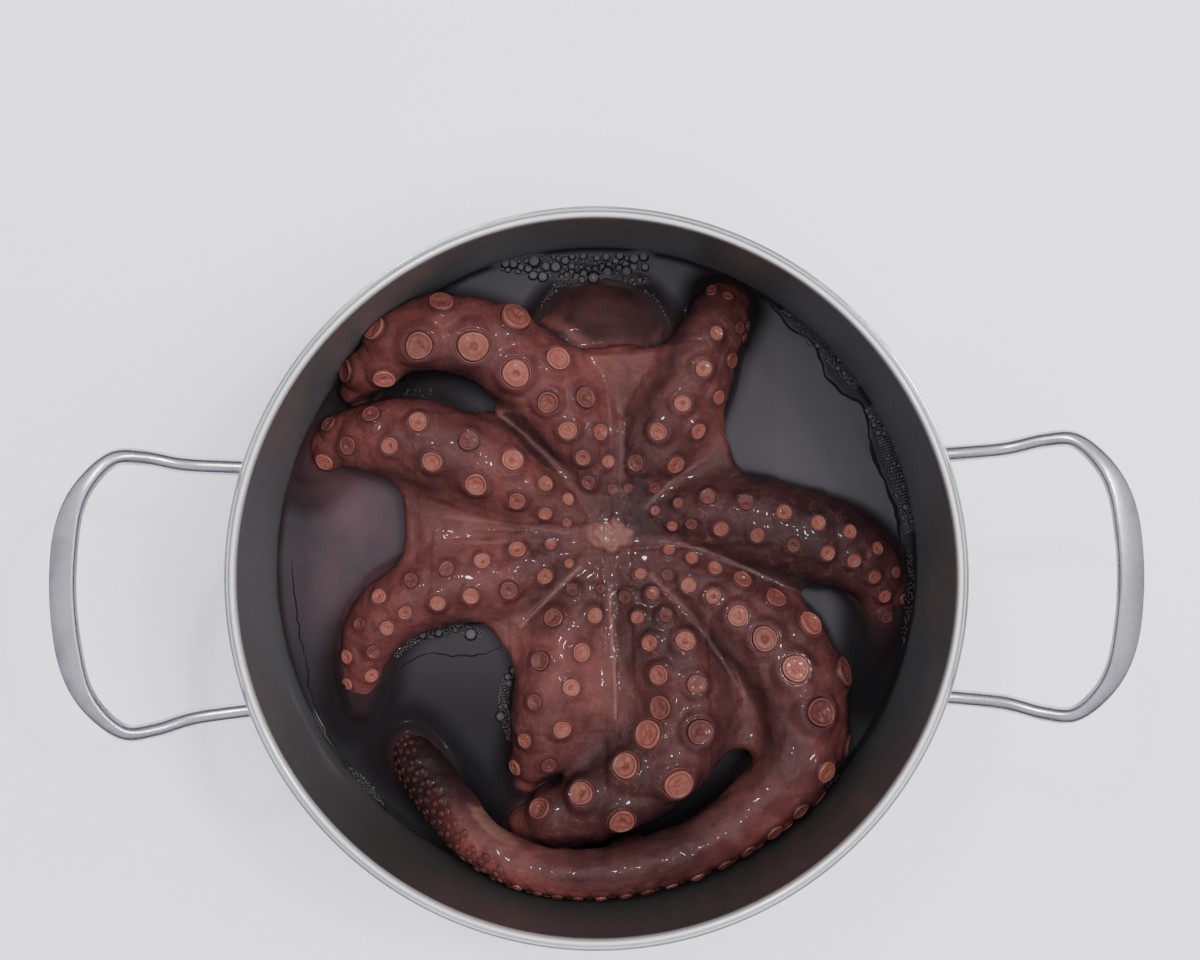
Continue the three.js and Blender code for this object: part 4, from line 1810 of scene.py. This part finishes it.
@dataclass
class Broth:
    """The liquid: a still surface that creeps up whatever it wets, over a body that fills the pot."""

    octopus: Octopus
    pot: Pot
    into_wall: float = 0.6
    creep: float = 1.9
    creep_ends: Place = (1.5, 4.2)
    wall_creep: float = 1.5
    fade: float = 2.6
    sight: float = 3.6
    deepest: float = 14.0
    unseen: float = 50.0
    under_film: float = 0.3
    shade_reach: Place = (0.3, 4.5)
    arm_reach: Place = (1, 10)
    near_side: Place = (-62, 5)
    left_side: Place = (-110, -30)
    wall_reach: Place = (0.3, 3)
    murk: Point = (-94, 14, 24)
    gap: Point = (-60, 64, 9)
    segments: int = 512

    def height(self, x: Array, y: Array) -> Array:
        """The height of the surface at points in plan.

        Args:
            x: Where they lie along X.
            y: Where they lie along Y.

        Returns:
            One height for each.
        """
        spots = np.stack([x, y, np.full(len(x), self.octopus.level)], 1)
        skin = np.clip(self.octopus.field.sample(spots), 0, None)
        wall = np.clip(self.pot.inner - np.hypot(x, y), 0, None)
        rise = self.creep * np.exp(-skin / self.fade) * (1 - smooth(skin, *self.creep_ends))
        rise = rise + self.wall_creep * np.exp(-wall / self.fade)
        calm = 0.08 * lumps(spots, 23, 11) + 0.04 * lumps(spots, 9, 12)
        return self.octopus.level + rise + calm

    def _sunk(self, points: Array) -> Array:
        """How clearly the octopus shows through the liquid at each point, from 0 to 1.

        Args:
            points: The liquid's points.

        Returns:
            One value for each.
        """
        depth = np.full(len(points), self.unseen)
        for below in np.arange(0.0, self.deepest, 1.0):
            spots = points.copy()
            spots[:, 2] = self.octopus.level - below
            depth = np.minimum(depth, below + np.maximum(self.octopus.field.sample(spots), 0) * 1.4)
        return np.exp(-depth / self.sight)

    def _rings(self) -> Array:
        """The rings of the liquid's body, from the middle of its floor round to that of its surface.

        Returns:
            The (n, m, 3) points, m to a ring.
        """
        edge, low = self.pot.inner + self.into_wall, self.pot.floor + self.pot.corner
        radii = np.concatenate([[6, 12, 18], np.arange(24, 114, 1.0), np.arange(114, edge, 0.6), [edge]])
        turns = turns_of(self.segments)
        x = (radii[::-1, None] * np.cos(turns)).ravel()
        y = (radii[::-1, None] * np.sin(turns)).ravel()
        top = np.stack([x, y, self.height(x, y)], 1).reshape(len(radii), -1, 3)
        bottom = [(60.0, self.pot.floor), *arc((edge - self.pot.corner, low), self.pot.corner, -90, 0, 8)]
        under = np.array([[(r * math.cos(t), r * math.sin(t), z) for t in turns] for r, z in bottom])
        return np.vstack([under, top])

    def _clear(self, level: Array) -> Array:
        """How far each point lies outside the arms in plan.

        Args:
            level: The points.

        Returns:
            One distance for each, less than 0 inside an arm.
        """
        clear = np.full(len(level), self.unseen)
        for arm in self.octopus.arms:
            line = arm.at(np.linspace(0, arm.length, 40))
            clear = np.minimum(clear, near_line(level, line.centre) - line.width.mean())
        return clear

    def _film_reach(self, turn: Array) -> Array:
        """How far out the skin's edge along the right wall runs, at some turns in degrees."""
        film = np.array(FILM[0])
        bearing = np.degrees(np.arctan2(film[:, 1], film[:, 0]))
        return np.interp(-turn, -bearing, np.hypot(film[:, 0], film[:, 1]), left=999, right=999)

    def _open(self, points: Array) -> Array:
        """How pale the liquid looks at each point, from 0 to 1: the pale is painted reflection, lowered as
        painted shade beside the skin and the arms, towards -y, in the gap between two arms, near the wall and
        towards -x; foam drifts raise it and past the thin skin's edge by the right wall it is lower.

        Args:
            points: The liquid's points.

        Returns:
            One value for each.
        """
        x, y = points[:, 0], points[:, 1]
        out = np.hypot(x, y)
        level = np.column_stack([x, y, np.full(len(points), self.octopus.level)])
        # Painted shade: the liquid is darkened beside the skin and the arms, towards -y, in the gap between
        # two arms, near the wall and towards -x.
        beside = smooth(self.octopus.field.sample(level), *self.shade_reach)
        still = beside * smooth(self._clear(level), *self.arm_reach)
        still = still * mix(0.25, 1, smooth(y, *self.near_side))
        still = still * (1 - bell(np.hypot((x - self.gap[0]) / 2, y - self.gap[1]), self.gap[2]))
        still = still * smooth(self.pot.inner - out, *self.wall_reach)
        still = still * mix(0.6, 1, smooth(x, *self.left_side))
        for patch in PATCHES[:2]:
            froth = smooth(near_line(level, np.array(patch.line)), patch.half + 0.6, patch.half - 0.8)
            still = np.maximum(still, froth * (0.75 + 0.5 * lumps(level, 2, 13)))
        past_film = out - self._film_reach(np.degrees(np.arctan2(y, x)))
        return still * mix(1, self.under_film, smooth(past_film, -0.5, 1.5))

    def build(self, finish: Material) -> Object:
        """Makes the liquid's closed body and sets it in place of its solid.

        Args:
            finish: Its finish.

        Returns:
            The liquid.
        """
        rings = self._rings()
        points = rings.reshape(-1, 3)
        murk = np.hypot(points[:, 0] - self.murk[0], (points[:, 1] - self.murk[1]) * 0.7)
        looks = {"sunk": self._sunk(points), "open": self._open(points), "murk": bell(murk, self.murk[2])}
        made = piece("broth_body", points, join_rings(rings), [finish], looks)
        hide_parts("broth")
        return made


@dataclass(frozen=True)
class Patch:
    """A drift of foam: its line in plan, half its width, how many bubbles and their largest radius."""

    line: tuple[Place, ...]
    half: float
    count: int
    largest: float
    smallest: float = 0.35


PATCHES = (
    Patch(((-33, 115), (-19, 113.6), (-6, 112.6), (7, 113), (20, 114.4)), 4.6, 1100, 2.0),
    Patch(((-14, 107), (-6, 107.3), (3, 107.8), (12.6, 107), (21, 107.8)), 2.2, 330, 1.4),
    Patch(((72, 95.7), (78, 89.6), (89.5, 77.7), (98.7, 65.9)), 2.6, 480, 1.1),
    Patch(((103, 57.5), (106.7, 53.7), (111, 40.8), (116, 23), (117.5, 11)), 3.0, 620, 1.1),
    Patch(((117.5, 4), (117.5, -8), (116.5, -17), (114, -30)), 1.3, 60, 0.8),
    Patch(((-76.5, -31.5), (-69.2, -25.4), (-59.8, -22.4), (-51.9, -22.2), (-43.7, -24.6)), 2.2, 170, 2.0),
    Patch(((-31.9, -36.1), (-34.6, -41.7), (-36.2, -48.8), (-34.9, -58.2), (-33.2, -64.3)), 1.9, 120, 1.9),
    Patch(((-95, -74), (-89, -80.5), (-82.5, -88)), 2.2, 120, 1.1),
    Patch(((-76.6, -96.9), (-68.5, -103), (-61, -108), (-55, -111)), 2.3, 90, 1.0),
    Patch(((89, -80), (85.5, -85), (80, -90.5), (75.6, -94)), 1.8, 40, 1.5),
    Patch(((49.8, -109.5), (43.7, -112), (36.5, -114)), 1.2, 22, 1.2),
    Patch(((-71, 67), (-65, 66.8), (-60.7, 67.8)), 1.6, 12, 1.7),
    Patch(((-19, 97), (-16.4, 102), (-12.6, 105.6)), 1.0, 24, 0.9),
    Patch(((19, 104), (24, 99.5), (27.4, 92.4)), 1.0, 24, 0.9),
)

FILM = (
    (
        (66.9, 97.3), (75, 88.5), (83.6, 82.3), (87.1, 70.6), (94.1, 63), (102.3, 57.5), (103.5, 42.1),
        (107.4, 32.6), (112.6, 20.9), (114, 11.4), (115.4, -2.2), (114.6, -17.2), (112.3, -33.7),
        (109.2, -50.1), (102.1, -66.5), (96, -74.3),
    ),
    (
        (-114.5, 4.9), (-112, -22.6), (-104.3, -59.5), (-96.1, -74), (-84.9, -84.3), (-78.7, -94.2),
        (-66.8, -105),
    ),
    ((-79.7, -40.3), (-72.5, -34.8), (-63.9, -31.4), (-52.6, -32.6), (-41.2, -31.1), (-34.7, -27.7)),
)


# radius and height of a bubble's dome and of the liquid's collar round it, as shares of its radius
DOME = [(math.cos(t), math.sin(t)) for t in np.radians([-20, 5, 28, 48, 66, 80])]
COLLAR = [(1.5, -0.06), (1.28, 0.05), (1.1, 0.2), (1.0, 0.3), (0.97, 0.1), (1.0, -0.2)]


@dataclass
class Foam:
    """Bubbles that float in drifts, and the edge of the thin skin beside the wall."""

    broth: Broth
    seed: int = 41
    tries: int = 14
    small: float = 36.0
    ends: Place = (0.12, 0.88)
    apart: float = 0.93
    waterline: float = 67.5
    overlap: float = 0.2
    few_sided: float = 0.8
    squat: float = 0.8
    furthest: float = 118.6
    wall: float = 120.2
    dark: float = 0.06
    edge_sides: int = 8

    def _drift(self, patch: Patch, random: np.random.Generator) -> Array:
        """The places and radii of one drift's bubbles, the largest first, none over another.

        Args:
            patch: The drift.
            random: Where the random draws come from.

        Returns:
            The (n, 3) places in plan and radii.
        """
        line = spline(np.array(patch.line), np.linspace(0, 1, 60))
        ahead = unit(np.gradient(line, axis=0))
        side = np.stack([-ahead[:, 1], ahead[:, 0]], 1)
        sizes = np.sort(mix(patch.smallest, patch.largest, random.random(patch.count) ** self.small))[::-1]
        placed = np.empty((0, 3))
        for size in sizes:
            for _ in range(self.tries):
                i = random.integers(len(line))
                taper = math.sin(math.pi * mix(*self.ends, i / len(line))) ** 0.6
                spot = line[i] + side[i] * patch.half * taper * random.uniform(-1, 1)
                apart = np.hypot(*(placed[:, :2] - spot).T) - self.apart * (size + placed[:, 2])
                if math.hypot(*spot) < self.broth.pot.inner - 0.4 * size and not (apart < 0).any():
                    placed = np.vstack([placed, [*spot, size]])
                    break
        return placed

    def _bubbles(self) -> tuple[Array, Faces, Array]:
        """All the bubbles: a dome on a low collar of liquid.

        Returns:
            The points, the faces, and for each face 0 on a dome and 1 on a collar.
        """
        random = np.random.default_rng(self.seed)
        spots = np.vstack([self._drift(patch, random) for patch in PATCHES])
        afloat = np.column_stack([spots[:, :2], np.full(len(spots), self.waterline)])
        skin = self.broth.octopus.field.sample(afloat)
        spots = spots[skin > -self.overlap * spots[:, 2]]
        heights = self.broth.height(spots[:, 0], spots[:, 1])
        parts, kinds = [], []
        for (x, y, r), z in zip(spots, heights):
            sides = 10 if r < self.few_sided else 16
            turns = turns_of(sides)
            for kind, profile in enumerate((DOME, COLLAR)):
                rings = np.array([
                    [(x + q * r * math.cos(t), y + q * r * math.sin(t), z + h * r * self.squat)
                     for t in turns]
                    for q, h in profile
                ])
                faces = join_rings(rings, closed=False)
                points = rings.reshape(-1, 3)
                if profile is DOME:
                    points = np.vstack([points, [x, y, z + self.squat * r]])
                    faces += fan((len(profile) - 1) * sides, sides, len(points) - 1)
                parts.append((points, faces))
                kinds += [kind] * len(faces)
        points, faces = combined(parts)
        return points, faces, np.array(kinds)

    def _film(self, points: tuple[Place, ...], thick: float) -> tuple[Array, Faces]:
        """The rolled edge of a thin skin on the liquid.

        Args:
            points: Its line in plan.
            thick: The mean radius of the edge.

        Returns:
            The points and the faces.
        """
        line = spline(np.array(points), np.linspace(0, 1, 260))
        walk = np.linspace(0, 1, len(line))
        ahead = unit(np.gradient(line, axis=0))
        side = np.stack([-ahead[:, 1], ahead[:, 0]], 1)
        wave = np.column_stack([line, np.zeros(len(line))])
        line = line + side * (0.7 * lumps(wave, 6, 21) + 0.4 * lumps(wave, 2.5, 22))[:, None]
        line = line * np.minimum(1, self.furthest / np.linalg.norm(line, axis=1))[:, None]
        base = self.broth.height(line[:, 0], line[:, 1])
        size = thick * (1 + 0.6 * lumps(wave, 8, 23)) * np.sin(math.pi * np.clip(walk, 0.01, 0.99)) ** 0.3
        rings = []
        turns = turns_of(self.edge_sides)
        for i, centre in enumerate(line):
            flat = centre + side[i] * (1.8 * size[i] * np.cos(turns))[:, None]
            rings.append(np.column_stack([flat, base[i] + size[i] * (0.2 + np.sin(turns))]))
        rings = np.array(rings)
        return rings.reshape(-1, 3), join_rings(rings)

    def _looks(self, points: Array) -> dict[str, Array]:
        """What the liquid's finish reads: dark, with nothing seen in it."""
        return {"sunk": np.zeros(len(points)), "open": np.full(len(points), self.dark)}

    def build(self, film: Material, liquid: Material) -> list[Object]:
        """Makes the bubbles and the skin's edge.

        Args:
            film: The bubbles' finish.
            liquid: The finish of collars and edges.

        Returns:
            The bubbles and the skin's edge.
        """
        points, faces, kinds = self._bubbles()
        points = within(points, self.wall)
        bubbles = piece("foam_bubbles", points, faces, [film, liquid], self._looks(points), kinds)
        points, faces = combined(self._film(line, thick) for line, thick in zip(FILM, (0.3, 0.16, 0.13)))
        edge = piece("foam_skin_edge", points, faces, [liquid], self._looks(points))
        return [bubbles, edge]


# ---------------------------------------------------------------- studio


@dataclass(frozen=True)
class Studio:
    """A pale table, soft light and the camera straight above."""

    image: tuple[int, int] = (1200, 960)
    focal_pixels: float = 1631.0
    camera_metres: Point = (0.00179, 0.03277, 0.68)
    camera_turn: float = -1.1
    sensor: float = 36.0
    floor_half_metres: float = 3.0
    room: Colour = (0.95, 0.95, 1.0)
    strength: float = 0.95
    dim: float = 0.14
    dim_below: float = 0.35
    full_above: float = 0.9
    backdrop: float = 0.9

    def floor(self, finish: Material) -> Object:
        """The table top, which isn't part of the object.

        Args:
            finish: Its finish.

        Returns:
            The table top.
        """
        mesh = bpy.data.meshes.new("table_top")
        h = self.floor_half_metres
        mesh.from_pydata([(-h, -h, 0), (h, -h, 0), (h, h, 0), (-h, h, 0)], [], [(0, 1, 2, 3)])
        mesh.materials.append(finish)
        made = placed("table_top", mesh)
        return made

    def camera(self) -> Object:
        """The camera straight above the pot.

        Returns:
            The camera.
        """
        lens = bpy.data.cameras.new("camera")
        lens.sensor_width = self.sensor
        lens.lens = self.focal_pixels / self.image[0] * self.sensor
        made = placed("camera", lens)
        made.location = self.camera_metres
        made.rotation_euler = (0, 0, math.radians(self.camera_turn))
        bpy.context.scene.camera = made
        return made

    def _lamp(
        self, name: str, place: Point, size: float, power: float, colour: Colour, seen: bool = True
    ) -> None:
        """A square lamp that faces the pot.

        Args:
            name: Its name.
            place: Where it hangs, in metres.
            size: The length of its side, in metres.
            power: Its power, in watts.
            colour: Its colour.
            seen: Whether wet and polished surfaces reflect it.
        """
        lamp = bpy.data.lights.new(name, "AREA")
        lamp.size = size
        lamp.energy = power
        lamp.color = colour
        made = placed(name, lamp)
        made.location = place
        made.visible_glossy = seen
        made.rotation_euler = (Vector(place) - Vector((0, 0, 0.07))).to_track_quat("Z", "Y").to_euler()

    def light(self) -> None:
        """The room's even light, three soft lamps and two that glint."""
        world = Graph("room", world=True)
        height = world.node("ShaderNodeSeparateXYZ", {}, {0: world.node("ShaderNodeTexCoord", {}, {})}, "Z")
        stops = [
            (self.dim_below, [c * self.dim for c in self.room]),
            (self.full_above, self.room),
        ]
        room = world.node("ShaderNodeValToRGB", {"stops": stops}, {0: height})
        seen = world.node("ShaderNodeLightPath", {}, {}, "Is Camera Ray")
        plain = (*(c * self.backdrop for c in self.room), 1)
        colour = world.node("ShaderNodeMix", {"data_type": "RGBA"}, {0: seen, 6: room, 7: plain}, 2)
        ground = world.node("ShaderNodeBackground", {}, {"Color": colour, "Strength": self.strength})
        bpy.context.scene.world = world.end("World", ground)
        self._lamp("overhead_softbox", (0.35, 0.1, 2.0), 1.5, 78, (1, 0.985, 0.97), seen=False)
        self._lamp("right_window", (1.6, 0.15, 1.2), 0.6, 11, (0.94, 0.96, 1), seen=False)
        self._lamp("left_window", (-1.6, 0.2, 1.2), 0.6, 6, (0.94, 0.96, 1), seen=False)
        self._lamp("near_spot", (0.55, 0.25, 1.5), 0.09, 7, (1, 0.98, 0.95))
        self._lamp("far_spot", (-0.3, 0.5, 1.4), 0.09, 6, (1, 0.98, 0.95))


def main() -> None:
    """Builds every piece in order and reports it."""
    logging.basicConfig(level=logging.INFO, format="%(message)s")
    steel = BrushedSteel().build()
    polished = PolishedSteel().build()
    liquid = BrothFinish().build()
    pot = Pot()
    pot.build(steel)
    for side in Side:
        Handle(side).build(polished)
    octopus = Octopus(arms(), WEBS)
    LOG.info("suckers: %d", len(octopus.suckers))
    octopus.build(SkinFinish().build(), SuckerFinish().build())
    broth = Broth(octopus, pot)
    broth.build(liquid)
    Foam(broth).build(BubbleFinish().build(), liquid)
    studio = Studio()
    studio.floor(FloorFinish().build())
    studio.camera()
    studio.light()


if __name__ == "__main__":
    main()
